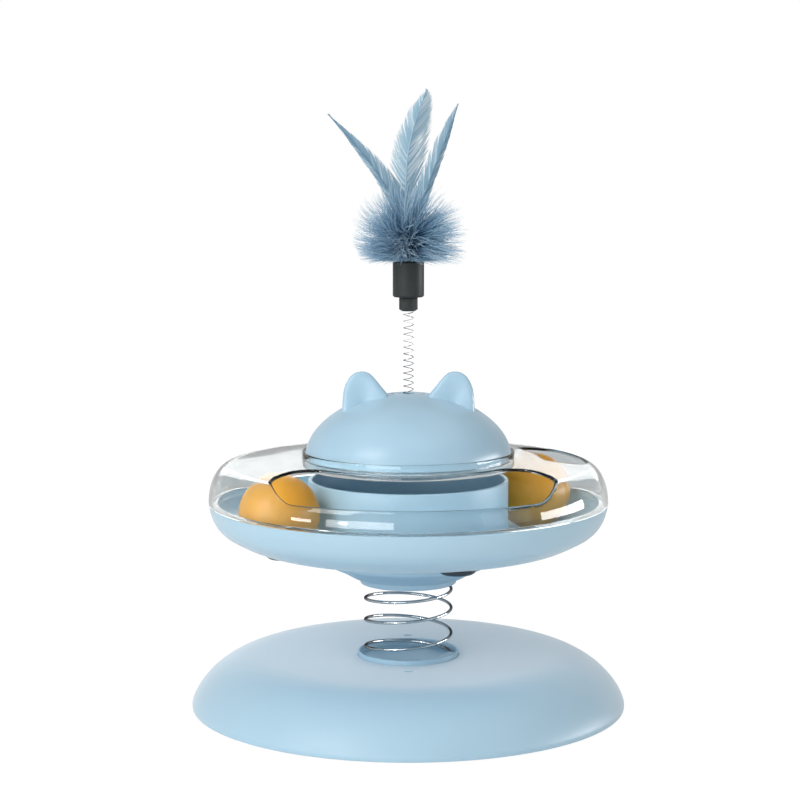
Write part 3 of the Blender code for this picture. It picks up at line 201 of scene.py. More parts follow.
def clear_polystyrene():
    """Crystal polystyrene, polished mould: nearly colourless, with faint flow waves that bend
    the highlights, and lamps shine through it instead of being blocked."""
    mat, tree = blank_material("clear_polystyrene")
    shader = add_node(tree, "ShaderNodeBsdfPrincipled", {
        "Base Color": linear_colour("F5F8F8"), "Roughness": 0.02, "IOR": 1.5,
        "Normal": bumped(tree, noise(tree, 16, 1.0), 0.2, 0.03), "Transmission Weight": 1.0})
    through = add_node(tree, "ShaderNodeBsdfTransparent", {"Color": linear_colour("F2F6F7")})
    shadow = add_node(tree, "ShaderNodeLightPath").outputs["Is Shadow Ray"]
    both = mix_shaders(tree, shadow, shader, through)
    add_node(tree, "ShaderNodeOutputMaterial", {"Surface": both})
    return mat


def ball_plastic():
    """Blow-moulded polypropylene in orange yellow: light enters a little and evens its shade,
    and the surface is a soft gloss with fine handling marks."""
    mat, tree = blank_material("orange_polypropylene")
    marks = noise(tree, 0.9, 3.0)
    return end_material(mat, {
        "Base Color": between(tree, noise(tree, 20, 2.0), "E2A233", "DA992A"),
        "Roughness": ranged(tree, marks, 0.33, 0.42), "Normal": bumped(tree, marks, 0.25, 0.02),
        "IOR": 1.49, "Subsurface Weight": 0.12, "Subsurface Scale": 2 * MM})


def nickel_wire(name, colour, roughness):
    """Drawn steel wire with bright nickel plating: mirror-like, broken by fine drawing marks."""
    mat, tree = blank_material(name)
    marks = noise(tree, 0.6, 3.0)
    return end_material(mat, {
        "Base Color": between(tree, marks, colour, "C6CACD"),
        "Roughness": ranged(tree, marks, roughness * 0.7, roughness * 1.4), "Metallic": 1.0,
        # The dark Specular Tint paints shade into the reflections at grazing angles, so the wire's edges
        # read dark.
        "Specular Tint": (0.1, 0.12, 0.15, 1)})


def moulded_rubber(name, colour, roughness, speck):
    """Compression-moulded rubber: dark, with a dusty speckle in its shade."""
    mat, tree = blank_material(name)
    dust = noise(tree, 0.5, 3.0)
    return end_material(mat, {
        "Base Color": between(tree, dust, colour, speck), "Roughness": roughness,
        "Normal": bumped(tree, dust, 0.3, 0.03), "IOR": 1.52})


def dyed_down_with_painted_shade():
    """Dyed turkey down: matt strands, pale and thin at the tips, each with a tone of its own, and a soft
    sheen against the light. Their colour is painted darker towards the root, as shade where they crowd."""
    mat, tree = blank_material("dyed_down_with_painted_shade")
    # The ramp along each strand paints shade: darkest at the root, where the strands crowd, pale at the
    # tips.
    ramp = colour_ramp(tree, attribute(tree, "along"), linear_colour("4A80A4"),
                       linear_colour("D2E6F2"),
                       ((0.3, linear_colour("7FAECC")), (0.65, linear_colour("A9CDE2"))))
    tone = between(tree, attribute(tree, "tint"), "93AEC3", "FFFFFF")
    return end_material(mat, {
        "Base Color": between(tree, 1.0, ramp, tone, "MULTIPLY"), "Roughness": 0.75,
        "Specular IOR Level": 0.3, "Sheen Weight": 0.35, "Sheen Roughness": 0.4})


def dyed_feather(name, foot, tip, pale):
    """Dyed goose feather: barbs that differ a little in tone, lighter towards their free ends,
    with a silky sheen."""
    mat, tree = blank_material(name)
    body = between(tree, attribute(tree, "along"), foot, tip)
    streak = add_node(tree, "ShaderNodeMapRange", {"Value": attribute(tree, "tint"),
                                                   "From Min": 0.55, "To Max": 0.75})
    return end_material(mat, {
        "Base Color": between(tree, streak.outputs["Result"], body, pale), "Roughness": 0.55,
        "Specular IOR Level": 0.35, "Sheen Weight": 0.2, "Sheen Roughness": 0.35})


BASE_PP = moulded_plastic("satin_polypropylene", "ACCCDE", "A8C9DC", 0.4, 0.5, 0.012, 0.4, 0.8)
FLOOR_PP = moulded_plastic("plain_polypropylene", "A4C3D4", "9FBFD1", 0.55, 0.6, 0.03)
BOWL_ABS = moulded_plastic("semi_gloss_abs", "B0D0E1", "ABCCDE", 0.3, 0.4, 0.01, sheen=0.3)
DRUM_ABS = moulded_plastic("semi_gloss_drum_abs", "B0D1E3", "ACCDE0", 0.36, 0.4, 0.015)
HUB_ABS = moulded_plastic("semi_gloss_hub_abs", "A8C9DC", "A3C5D9", 0.38, 0.4, 0.015)
LID_ABS = moulded_plastic("satin_abs", "ADCEE1", "A9CBDF", 0.3, 0.45, 0.01, sheen=0.3)
BLACK_ABS = moulded_plastic("charcoal_abs", "3B403F", "353A39", 0.38, 0.4, 0.012, 0.1)
ACETAL = moulded_plastic("natural_acetal", "E6E6E0", "DEDFD9", 0.4, 0.5, 0.02)
CLEAR_PS = clear_polystyrene()
BALL_PP = ball_plastic()
NICKEL = nickel_wire("nickel_plated_wire", "E6E8E9", 0.06)
DARK_WIRE = nickel_wire("fine_spring_wire", "74787A", 0.2)
ZINC = nickel_wire("zinc_plated_steel", "BFC4C9", 0.3)
OUTLET_RUBBER = moulded_rubber("glossy_outlet_rubber", "1F2C38", 0.22, "2A3947")
PAD_RUBBER = moulded_rubber("matt_pad_rubber", "34383A", 0.7, "45494B")
DOWN = dyed_down_with_painted_shade()
VANE = dyed_feather("dyed_wide_feather", "7FA5BC", "A3C1D0", "D9E5EA")
NARROW_VANE = dyed_feather("dyed_narrow_feather", "6A8FA6", "8CAABC", "BACED9")
PALE_QUILL = moulded_plastic("dyed_quill", "98B9CC", "8DAFC3", 0.45, 0.3, 0.01)
# The narrow feathers' quills are a darker copy of the quill colour: painted shade for the quill's shadow
# side.
DARK_QUILL = moulded_plastic("quill_with_painted_shade", "6A90AA", "5F86A0", 0.45, 0.3, 0.01)


# Outlines and round mouldings
def rounded(corners, closed=True, steps=5):
    """The outline with each corner (r, z, fillet) turned into an arc of that radius."""
    out = []
    count = len(corners)
    for i, corner in enumerate(corners):
        size = corner[2] if len(corner) > 2 else 0.0
        if size == 0 or (not closed and i in (0, count - 1)):
            out.append((corner[0], corner[1]))
            continue
        p = Vector(corner[:2])
        back = Vector(corners[i - 1][:2]) - p
        ahead = Vector(corners[(i + 1) % count][:2]) - p
        half = back.angle(ahead) / 2
        setback = min(size / math.tan(half), 0.49 * back.length, 0.49 * ahead.length)
        size = setback * math.tan(half)
        centre = p + (back.normalized() + ahead.normalized()).normalized() * (size / math.sin(half))
        first = p + back.normalized() * setback - centre
        turn = first.angle_signed(p + ahead.normalized() * setback - centre)
        for k in range(steps + 1):
            arm = first.copy()
            arm.rotate(Matrix.Rotation(-turn * k / steps, 2))
            out.append(tuple(centre + arm))
    return out


def rounded_quarter(centre_r, centre_z, reach, rise, side_share, top_share, steps):
    """Points from the side (reach) to the top (rise) of a rounded quarter."""
    points = []
    for k in range(steps + 1):
        a = PI / 2 * k / steps
        points.append((centre_r + reach * max(math.cos(a), 0.0) ** (2 / side_share),
                       centre_z + rise * math.sin(a) ** (2 / top_share)))
    return points


def smooth_line(points, steps):
    """A smooth curve through the points, with the given steps between two."""
    first = [2 * a - b for a, b in zip(points[0], points[1])]
    last = [2 * a - b for a, b in zip(points[-1], points[-2])]
    p = [first] + [list(q) for q in points] + [last]
    out = []
    for i in range(1, len(p) - 2):
        for k in range(steps):
            t = k / steps
            out.append(tuple(
                0.5 * (2 * b + (c - a) * t + (2 * a - 5 * b + 4 * c - d) * t * t
                       + (3 * b - a - 3 * c + d) * t ** 3)
                for a, b, c, d in zip(p[i - 1], p[i], p[i + 1], p[i + 2])))
    out.append(tuple(points[-1]))
    return out


def evenly(points, step):
    """The same line with points an even step apart."""
    runs = [math.dist(a, b) for a, b in zip(points, points[1:])]
    total = sum(runs)
    count = max(2, round(total / step))
    out, i, done = [], 0, 0.0
    for k in range(count):
        want = total * k / count
        while done + runs[i] < want:
            done += runs[i]
            i += 1
        t = (want - done) / runs[i]
        out.append(tuple(a + (b - a) * t for a, b in zip(points[i], points[i + 1])))
    return out + [points[-1]]


def wall_line(points, wall):
    """The line moved to its left by a wall's thickness."""
    out = []
    for i, (r, z) in enumerate(points):
        a, b = points[max(i - 1, 0)], points[min(i + 1, len(points) - 1)]
        length = math.dist(a, b)
        out.append((r - (b[1] - a[1]) / length * wall, z + (b[0] - a[0]) / length * wall))
    return out


def height_at(points, radius):
    for (r0, z0), (r1, z1) in zip(points, points[1:]):
        if min(r0, r1) <= radius <= max(r0, r1) and r0 != r1:
            return z0 + (z1 - z0) * (radius - r0) / (r1 - r0)
    return points[-1][1]


def place_object(name, data):
    obj = bpy.data.objects.new(name, data)
    bpy.context.scene.collection.objects.link(obj)
    return obj


def baked(obj):
    """A new mesh of the object's shape with its modifiers applied."""
    depsgraph = bpy.context.evaluated_depsgraph_get()
    return bpy.data.meshes.new_from_object(obj.evaluated_get(depsgraph))


def to_object(name, bm, mat, sharp_deg=32):
    """Outward faces, smooth shading with crisp edges, at the origin."""
    bmesh.ops.recalc_face_normals(bm, faces=bm.faces)
    mesh = bpy.data.meshes.new(name)
    bm.to_mesh(mesh)
    bm.free()
    mesh.shade_smooth()
    mesh.set_sharp_from_angle(angle=math.radians(sharp_deg))
    mesh.materials.append(mat)
    return place_object(name, mesh)


def add_ring(bm, r, z, sides=SIDES):
    ring = []
    for k in range(sides):
        a = 2 * PI * k / sides
        ring.append(bm.verts.new((r * math.cos(a) * MM, r * math.sin(a) * MM, z * MM)))
    return ring


def bridge(bm, rings):
    """Faces between one closed row of points and the next."""
    for low, high in zip(rings, rings[1:]):
        for k in range(len(low)):
            j = (k + 1) % len(low)
            bm.faces.new((low[k], low[j], high[j], high[k]))


def cap(bm, rings):
    """Flat faces that close the first and the last row."""
    bm.faces.new(rings[0])
    bm.faces.new(rings[-1][::-1])


def spin(bm, outline, sides):
    """Adds an outline turned round an upright axis; its ends close on the axis or on each other."""
    rings = []
    for r, z in outline:
        if r < 1e-6:
            rings.append([bm.verts.new((0, 0, z * MM))])
        else:
            rings.append(add_ring(bm, r, z, sides))
    pairs = list(zip(rings, rings[1:]))
    if len(rings[0]) > 1 and len(rings[-1]) > 1:
        pairs.append((rings[-1], rings[0]))
    for low, high in pairs:
        if len(low) == 1 and len(high) == 1:
            continue
        for k in range(sides):
            j = (k + 1) % sides
            if len(low) == 1:
                bm.faces.new((low[0], high[j], high[k]))
            elif len(high) == 1:
                bm.faces.new((low[k], low[j], high[0]))
            else:
                bm.faces.new((low[k], low[j], high[j], high[k]))


def turned(name, outline, mat, sides=SIDES):
    bm = bmesh.new()
    spin(bm, outline, sides)
    return to_object(name, bm, mat)


def cut_away(obj, tool):
    """Cuts the tool's shape out of a piece and drops the tool."""
    combine(obj, tool, "DIFFERENCE")


def combine(obj, tool, operation):
    step = obj.modifiers.new("shape", "BOOLEAN")
    step.operation = operation
    step.solver = "EXACT"
    step.object = tool
    mesh = baked(obj)
    obj.modifiers.clear()
    old = obj.data
    obj.data = mesh
    bpy.data.meshes.remove(old)
    bpy.data.objects.remove(tool)


def put(obj, body, slot, *nodes):
    """Hangs a finished piece on its body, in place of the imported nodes."""
    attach(obj, body)
    if nodes:
        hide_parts(*nodes)
    return obj


# Geometry Nodes trees
def new_tree(name, inputs):
    """A tree with named inputs, each with its usual value, and one for the material."""
    tree = bpy.data.node_groups.new(name, "GeometryNodeTree")
    tree.interface.new_socket("Geometry", in_out="OUTPUT", socket_type="NodeSocketGeometry")
    tree.interface.new_socket("Geometry", in_out="INPUT", socket_type="NodeSocketGeometry")
    for label, value in {**inputs, "Material": None}.items():
        kind = {int: "Int", float: "Float"}.get(type(value), "Material")
        socket = tree.interface.new_socket(label, in_out="INPUT", socket_type="NodeSocket" + kind)
        if value is not None:
            socket.default_value = value
    return tree, tree.nodes.new("NodeGroupInput").outputs


def end_tree(tree, geometry, given):
    """Realizes the copies, sets their material and ends the tree."""
    real = add_node(tree, "GeometryNodeRealizeInstances", {"Geometry": geometry})
    done = add_node(tree, "GeometryNodeSetMaterial",
                    {"Geometry": real, "Material": given["Material"]})
    add_node(tree, "NodeGroupOutput", {"Geometry": done})
    return tree


def grow(name, source, tree, values, sharp_deg=32):
    """Runs a tree on a source object and keeps the result as a plain mesh."""
    step = source.modifiers.new("growth", "NODES")
    step.node_group = tree
    for item in tree.interface.items_tree:
        if item.in_out == "INPUT" and item.name in values:
            step[item.identifier] = values[item.name]
    mesh = baked(source)
    bpy.data.objects.remove(source)
    mesh.name = name
    mesh.shade_smooth()
    mesh.set_sharp_from_angle(angle=math.radians(sharp_deg))
    return place_object(name, mesh)


def math_node(tree, operation, *values):
    return add_node(tree, "ShaderNodeMath", dict(enumerate(values)), operation=operation).outputs[0]


def times(tree, first, second):
    return math_node(tree, "MULTIPLY", first, second)


def vector_math(tree, operation, *values):
    return add_node(tree, "ShaderNodeVectorMath", dict(enumerate(values)),
                    operation=operation).outputs[0]


def scaled(tree, vector, factor):
    return add_node(tree, "ShaderNodeVectorMath", {0: vector, "Scale": factor},
                    operation="SCALE").outputs[0]


def xyz(tree, x=0.0, y=0.0, z=0.0):
    return add_node(tree, "ShaderNodeCombineXYZ", {"X": x, "Y": y, "Z": z}).outputs[0]


def random_value(tree, low, high, seed):
    return add_node(tree, "FunctionNodeRandomValue", {2: low, 3: high, "Seed": seed},
                    data_type="FLOAT").outputs[1]


def stored(tree, geometry, name, value, domain):
    """The geometry with a value kept on it, for its material to read."""
    return add_node(tree, "GeometryNodeStoreNamedAttribute",
                    {"Geometry": geometry, "Name": name, "Value": value},
                    data_type="FLOAT", domain=domain)


def bent_line(tree, steps, mid, end):
    """A curve from the origin that bends to its end, and the share of the way along it."""
    line = add_node(tree, "GeometryNodeCurveQuadraticBezier",
                    {"Resolution": steps, "Start": (0, 0, 0), "Middle": mid, "End": end})
    share = add_node(tree, "GeometryNodeSplineParameter").outputs["Factor"]
    return stored(tree, line, "along", share, "POINT"), share


def rod(tree, curve, sides, radius=1.0, scale=1.0):
    """A rod with flat ends along a curve; its scale can change on the way."""
    section = add_node(tree, "GeometryNodeCurvePrimitiveCircle",
                       {"Resolution": sides, "Radius": radius})
    return add_node(tree, "GeometryNodeCurveToMesh",
                    {"Curve": curve, "Profile Curve": section, "Scale": scale, "Fill Caps": True})


def copies(tree, points, instance, rotation, scale=(1, 1, 1)):
    return add_node(tree, "GeometryNodeInstanceOnPoints",
                    {"Points": points, "Instance": instance, "Rotation": rotation, "Scale": scale})


def wire_tree():
    """Round wire along a path, with flat cut ends."""
    tree, given = new_tree("wire_along_path", {"Thickness": 0.001, "Sides": 16})
    radius = times(tree, given["Thickness"], 0.5)
    return end_tree(tree, rod(tree, given["Geometry"], given["Sides"], radius), given)


def ring_tree():
    """Copies of a small moulding on a circle, each turned with it."""
    tree, given = new_tree("fittings_on_circle", {"Count": 4, "Spread": 0.08, "First": 0.0})
    spots = add_node(tree, "GeometryNodePoints", {"Count": given["Count"]})
    index = add_node(tree, "GeometryNodeInputIndex")
    share = math_node(tree, "DIVIDE", index, given["Count"])
    angle = math_node(tree, "MULTIPLY_ADD", share, 2 * PI, given["First"])
    place = xyz(tree, times(tree, math_node(tree, "COSINE", angle), given["Spread"]),
                times(tree, math_node(tree, "SINE", angle), given["Spread"]))
    moved = add_node(tree, "GeometryNodeSetPosition", {"Geometry": spots, "Position": place})
    return end_tree(tree, copies(tree, moved, given["Geometry"], xyz(tree, z=angle)), given)


def down_tree():
    """Fine curved strands all over a core; neighbours lean the same way, so they clump."""
    tree, given = new_tree("down_strands", {
        "Density": 1e6, "Shortest": 0.01, "Longest": 0.02, "Lean": 0.5, "Lift": 0.2,
        "Droop": -0.1, "Clump size": 0.006, "Curl": 0.2, "Thinness": 0.006, "Seed": 1})
    seed = given["Seed"]
    line, share = bent_line(tree, 5, (0, 0, 0.55), xyz(tree, given["Curl"], z=1.0))
    taper = math_node(tree, "MULTIPLY_ADD", share, -0.75, 1.0)
    strand = rod(tree, line, 3, scale=times(tree, taper, given["Thinness"]))
    roots = add_node(tree, "GeometryNodeDistributePointsOnFaces",
                     {"Mesh": given["Geometry"], "Density": given["Density"], "Seed": seed})
    place = add_node(tree, "GeometryNodeInputPosition")
    clump = add_node(tree, "ShaderNodeTexNoise",
                     {"Vector": place, "Detail": 1.0,
                      "Scale": math_node(tree, "DIVIDE", 1.0, given["Clump size"])})
    sway = vector_math(tree, "SUBTRACT", clump.outputs["Color"], (0.5, 0.5, 0.5))
    stray = add_node(tree, "FunctionNodeRandomValue",
                     {0: (-0.22, -0.22, -0.22), 1: (0.22, 0.22, 0.22), "Seed": seed},
                     data_type="FLOAT_VECTOR").outputs[0]
    aim = roots.outputs["Normal"]
    for push in (scaled(tree, sway, given["Lean"]), stray, xyz(tree, z=given["Lift"])):
        aim = vector_math(tree, "ADD", aim, push)
    aim = vector_math(tree, "NORMALIZE", aim)
    parts = add_node(tree, "ShaderNodeSeparateXYZ", {"Vector": aim}).outputs
    level = math_node(tree, "MAXIMUM", parts["Z"], given["Droop"])
    stand = add_node(tree, "FunctionNodeAlignRotationToVector",
                     {"Vector": xyz(tree, parts["X"], parts["Y"], level)}, axis="Z")
    roll = random_value(tree, 0.0, 2 * PI, seed)
    about = add_node(tree, "FunctionNodeAxisAngleToRotation", {"Axis": (0, 0, 1), "Angle": roll})
    turn = add_node(tree, "FunctionNodeRotateRotation", {0: stand, 1: about},
                    rotation_space="LOCAL")
    length = random_value(tree, given["Shortest"], given["Longest"], seed)
    strands = copies(tree, roots, strand, turn, length)
    shade = random_value(tree, 0.0, 1.0, seed)
    return end_tree(tree, stored(tree, strands, "tint", shade, "INSTANCE"), given)


def vane_tree():
    """Barbs on both sides of a quill, in small groups that part at their free ends."""
    tree, given = new_tree("feather_vane", {
        "Barbs": 200, "Start": 0.4, "Left width": 0.005, "Right width": 0.005, "Turn": 0.0,
        "Left fold": 0.0, "Right fold": 0.0, "Foot sweep": 0.9, "Tip sweep": 0.5,
        "Barb width": 0.0003, "Bend": 0.002, "Group": 8.0, "Fullness": 3.0, "Parting": 0.1,
        "Seed": 1})
    line, share = bent_line(tree, 6, (0.55, 0, 0), xyz(tree, 1.0, given["Bend"]))
    taper = math_node(tree, "SUBTRACT", 1.0, math_node(tree, "POWER", share, 3.0))
    barb = rod(tree, line, 4, scale=times(tree, taper, given["Barb width"]))
    flat = add_node(tree, "GeometryNodeTransform", {"Geometry": barb, "Scale": (1.0, 1.0, 0.3)})
    part = add_node(tree, "GeometryNodeTrimCurve",
                    {"Curve": given["Geometry"], 2: given["Start"], 3: 1.0}, mode="FACTOR")
    spots = add_node(tree, "GeometryNodeResampleCurve", {"Curve": part, "Count": given["Barbs"]})
    spot = add_node(tree, "GeometryNodeSplineParameter").outputs["Factor"]
    tangent = add_node(tree, "GeometryNodeInputTangent").outputs[0]
    facing = add_node(tree, "ShaderNodeVectorRotate",
                      {"Vector": (0, -1, 0), "Axis": tangent, "Angle": given["Turn"]},
                      rotation_type="AXIS_ANGLE")
    across = vector_math(tree, "NORMALIZE", vector_math(tree, "CROSS_PRODUCT", tangent, facing))
    front = vector_math(tree, "NORMALIZE", vector_math(tree, "CROSS_PRODUCT", across, tangent))
    index = add_node(tree, "GeometryNodeInputIndex").outputs[0]
    narrowing = math_node(tree, "POWER", spot, given["Fullness"])
    opening = math_node(tree, "MINIMUM", math_node(tree, "MULTIPLY_ADD", spot, 3.0, 0.6), 1.0)
    shape = times(tree, math_node(tree, "SUBTRACT", 1.03, narrowing), opening)
    sweep = add_node(tree, "ShaderNodeMix",
                     {0: spot, 2: given["Foot sweep"], 3: given["Tip sweep"]}).outputs[0]
    group = math_node(tree, "FLOOR", math_node(tree, "DIVIDE", index, given["Group"]))
    one = random_value(tree, -1.0, 1.0, given["Seed"])
    sides = []
    for label, sign in (("Left", -1.0), ("Right", 1.0)):
        pair = xyz(tree, group, math_node(tree, "ADD", given["Seed"], sign))
        lot = add_node(tree, "ShaderNodeTexWhiteNoise", {"Vector": pair},
                       noise_dimensions="2D").outputs["Value"]
        wander = math_node(tree, "SUBTRACT", lot, 0.5)
        angle = math_node(tree, "MULTIPLY_ADD", wander, given["Parting"], sweep)
        angle = math_node(tree, "MULTIPLY_ADD", one, 0.02, angle)
        sine = math_node(tree, "SINE", angle)
        reach = times(tree, shape, given[label + " width"])
        trim = math_node(tree, "MULTIPLY_ADD", wander, 0.22, 0.95)
        trim = math_node(tree, "MULTIPLY_ADD", one, 0.04, trim)
        length = times(tree, math_node(tree, "DIVIDE", reach, sine), trim)
        ahead = scaled(tree, tangent, math_node(tree, "COSINE", angle))
        flat_part = math_node(tree, "COSINE", given[label + " fold"])
        deep_part = math_node(tree, "SINE", given[label + " fold"])
        sideways = scaled(tree, across, times(tree, times(tree, sine, sign), flat_part))
        inwards = scaled(tree, front, times(tree, times(tree, sine, deep_part), -1.0))
        aim = vector_math(tree, "ADD", vector_math(tree, "ADD", ahead, sideways), inwards)
        lay = add_node(tree, "FunctionNodeAlignRotationToVector", {"Vector": aim}, axis="X")
        lay = add_node(tree, "FunctionNodeAlignRotationToVector",
                       {"Rotation": lay, "Vector": scaled(tree, front, sign)},
                       axis="Z", pivot_axis="X")
        barbs = copies(tree, spots, flat, lay, xyz(tree, length, 1.0, 1.0))
        shade = math_node(tree, "MULTIPLY_ADD", one, 0.3, lot)
        sides.append(stored(tree, barbs, "tint", shade, "INSTANCE"))
    joined = add_node(tree, "GeometryNodeJoinGeometry")
    for side in sides:
        tree.links.new(side.outputs[0], joined.inputs[0])
    return end_tree(tree, joined, given)


WIRE_TREE = wire_tree()
RING_TREE = ring_tree()
DOWN_TREE = down_tree()
VANE_TREE = vane_tree()


def poly_curve(name, points):
    """A curve through points in millimetres."""
    curve = bpy.data.curves.new(name, "CURVE")
    curve.dimensions = "3D"
    spline = curve.splines.new("POLY")
    spline.points.add(len(points) - 1)
    for point, place in zip(spline.points, points):
        point.co = (place[0] * MM, place[1] * MM, place[2] * MM, 1)
    return curve


def wire(name, points, thickness, mat, sides):
    path = place_object(name + "_path", poly_curve(name + "_path", points))
    return grow(name, path, WIRE_TREE,
                {"Thickness": thickness * MM, "Sides": sides, "Material": mat}, 40)


def on_circle(name, source, count, spread, first_deg, mat):
    return grow(name, source, RING_TREE,
                {"Count": count, "Spread": spread * MM, "First": math.radians(first_deg),
                 "Material": mat})


# Base: shell, floor, pads, screws and spring cup
PLATEAU_RADIUS = 69.8
BASE_RIM = 1.75
BASE_WALL = 2.5
DISH = 1.3
CUP_BORE = 24.1
CUP_WALL = 1.1
CUP_RADIUS = CUP_BORE + CUP_WALL
CUP_FLOOR = LIP_Z - 3.5
FIT = 0.3                    # clearance between pieces that sit together
PLATE = 1.8                  # roof of the spring seat, and depth of the thin spring's sockets
PLUG_HEAD = 2.3
PAD_SPREAD = 80.0
BASE_SCREW_SPREAD = 84.0
FLOOR_THICK = 2.2
POST_RADIUS = 19
POST_BORE = 16
SCREW_HOLE = 1.7
SCREW_HEAD = 2.8
SCREW_SHANK = 1.3
MARK_SPREAD = 38.5


def base_line(wall):
    reach = BASE_RADIUS - PLATEAU_RADIUS - wall
    rise = BASE_TOP - SHELL_FOOT - BASE_RIM - wall
    line = rounded_quarter(PLATEAU_RADIUS, SHELL_FOOT + BASE_RIM, reach, rise, 2.3, 1.37, 240)
    return evenly(line, 0.9)


def plateau(radius):
    """The shallow dish that falls from the flank to the cup."""
    t = (PLATEAU_RADIUS - radius) / (PLATEAU_RADIUS - CUP_RADIUS)
    return BASE_TOP - DISH * t * t * (1.6 - 0.6 * t)


def make_base_shell():
    hole = CUP_RADIUS + FIT
    steps = 34
    dish = [(PLATEAU_RADIUS + (hole - PLATEAU_RADIUS) * k / steps) for k in range(1, steps + 1)]
    top = [(r, plateau(r)) for r in dish]
    under = [(r, z - BASE_WALL) for r, z in top]
    rim = rounded([(BASE_RADIUS - BASE_WALL, SHELL_FOOT, 0.4), (BASE_RADIUS, SHELL_FOOT, 0.5),
                   (BASE_RADIUS, SHELL_FOOT + BASE_RIM)], closed=False)
    outline = under[::-1] + base_line(BASE_WALL)[::-1] + rim[:-1] + base_line(0) + top
    bm = bmesh.new()
    spin(bm, outline, SIDES)
    for side in (-1, 1):
        press_mark(bm, side * MARK_SPREAD, 2.4, 1.4, 0.7)
    return to_object("base_shell_moulding", bm, BASE_PP)


def press_mark(bm, y, half_x, half_y, depth):
    """A small lens-shaped dent in the plateau, in a finer patch of faces."""
    near = []
    for face in bm.faces:
        c = face.calc_center_median() / MM
        if c.z > BASE_TOP - 2 * DISH and abs(c.x) < half_x * 1.7 and abs(c.y - y) < half_y * 2.2:
            near.append(face)
    edges = {edge for face in near for edge in face.edges}
    bmesh.ops.subdivide_edges(bm, edges=list(edges), cuts=6, use_grid_fill=True)
    for vert in bm.verts:
        p = vert.co / MM
        far = (p.x / half_x) ** 2 + ((p.y - y) / half_y) ** 2
        if far < 1 and p.z > BASE_TOP - 2 * DISH:
            vert.co.z -= depth * MM * min(1.0, 1.6 * (1 - far) ** 0.8)


def ring_sector(bm, inner, outer, bottom, top, start_deg, end_deg):
    """A ledge on part of a ring, with rounded edges."""
    section = rounded([(inner, bottom, 0.3), (outer, bottom), (outer, top), (inner, top, 0.3)],
                      steps=3)
    steps = 24
    rows = []
    for k in range(steps + 1):
        a = math.radians(start_deg + (end_deg - start_deg) * k / steps)
        rows.append([bm.verts.new((r * math.cos(a) * MM, r * math.sin(a) * MM, z * MM))
                     for r, z in section])
    bridge(bm, rows)
    cap(bm, rows)


def make_spring_cup():
    flange = CUP_RADIUS + 2.8
    flange_top = CUP_BOTTOM + 1.5
    outline = rounded([(0, CUP_BOTTOM), (flange, CUP_BOTTOM, 0.3), (flange, flange_top, 0.3),
                       (CUP_RADIUS, flange_top), (CUP_RADIUS, LIP_Z, 0.5),
                       (CUP_BORE, LIP_Z, 0.5), (CUP_BORE, CUP_FLOOR, 0.4),
                       (0, CUP_FLOOR)], closed=False)
    bm = bmesh.new()
    spin(bm, outline, SIDES)
    tab_bottom = MAIN_FOOT + MAIN_WIRE / 2 + FIT
    ring_sector(bm, CUP_BORE - 4.2, CUP_BORE + 0.5, tab_bottom, tab_bottom + 1.2, -12, -76)
    return to_object("spring_cup_moulding", bm, HUB_ABS)


def make_base_floor():
    low, high = span("base_floor")
    edge = high[0]
    top = low[2] + FLOOR_THICK
    outline = rounded([(0, low[2]), (edge, low[2], 0.4), (edge, top, 0.4), (POST_RADIUS, top, 0.8),
                       (POST_RADIUS, high[2], 0.4), (POST_BORE, high[2], 0.4),
                       (POST_BORE, top, 0.6), (0, top)], closed=False)
    floor = turned("base_floor_plate", outline, FLOOR_PP)
    for ring in (30.0, 52.0):
        groove = turned("groove", [(ring - 0.6, low[2] - 1), (ring + 0.6, low[2] - 1),
                                   (ring + 0.6, low[2] + 0.5), (ring - 0.6, low[2] + 0.5)],
                        FLOOR_PP)
        cut_away(floor, groove)
    holes = on_circle("holes", turned("hole", [(0, low[2] - 2), (SCREW_HOLE, low[2] - 2),
                                               (SCREW_HOLE, top + 2), (0, top + 2)], FLOOR_PP, 32),
                      4, BASE_SCREW_SPREAD, 0, FLOOR_PP)
    cut_away(floor, holes)
    return floor


def make_pads():
    low, high = span("foot_pad_1")
    radius = (high[0] - low[0]) / 2
    outline = rounded([(0, low[2]), (radius, low[2], 0.35), (radius, high[2], 0.2), (0, high[2])],
                      closed=False)
    pad = turned("pad", outline, PAD_RUBBER, FINE_SIDES)
    return on_circle("foot_pads", pad, 4, PAD_SPREAD, 45, PAD_RUBBER)


def make_base_screws():
    low, high = span("base_screw_1")
    head = low[2] + 1.2
    outline = rounded([(0, low[2]), (SCREW_HEAD, low[2], 0.6), (SCREW_HEAD, head, 0.2),
                       (SCREW_SHANK, head), (SCREW_SHANK, high[2]), (0, high[2])], closed=False)
    screw = turned("screw", outline, ZINC, 48)
    for quarter in (0, 90):
        bm = bmesh.new()
        bmesh.ops.create_cube(bm, size=1)
        bmesh.ops.scale(bm, vec=(3.2 * MM, 0.55 * MM, 1.4 * MM), verts=bm.verts)
        bmesh.ops.rotate(bm, cent=(0, 0, 0), verts=bm.verts,
                         matrix=Matrix.Rotation(math.radians(quarter), 3, "Z"))
        bmesh.ops.translate(bm, vec=(0, 0, low[2] * MM), verts=bm.verts)
        cut_away(screw, to_object("slot", bm, ZINC))
    return on_circle("base_screws", screw, 4, BASE_SCREW_SPREAD, 0, ZINC)


# Main spring, in two halves split at the middle of the spring
MAIN_WIRE = 1.5
MAIN_RADIUS = 21.55
MAIN_TURNS = 3.53
MAIN_END_TURN = 0.32
MAIN_SWAY = 2.35             # how far the coil strays from an even pitch
MAIN_LOW_CROSSING = 0.30     # shares of its turns where it meets an even pitch
MAIN_HIGH_CROSSING = 0.779
MAIN_FOOT = CUP_FLOOR + FIT + MAIN_WIRE / 2
MAIN_HEAD = SEAT_TOP - PLATE - FIT - MAIN_WIRE / 2
MAIN_MIDDLE = (MAIN_FOOT + MAIN_HEAD) / 2


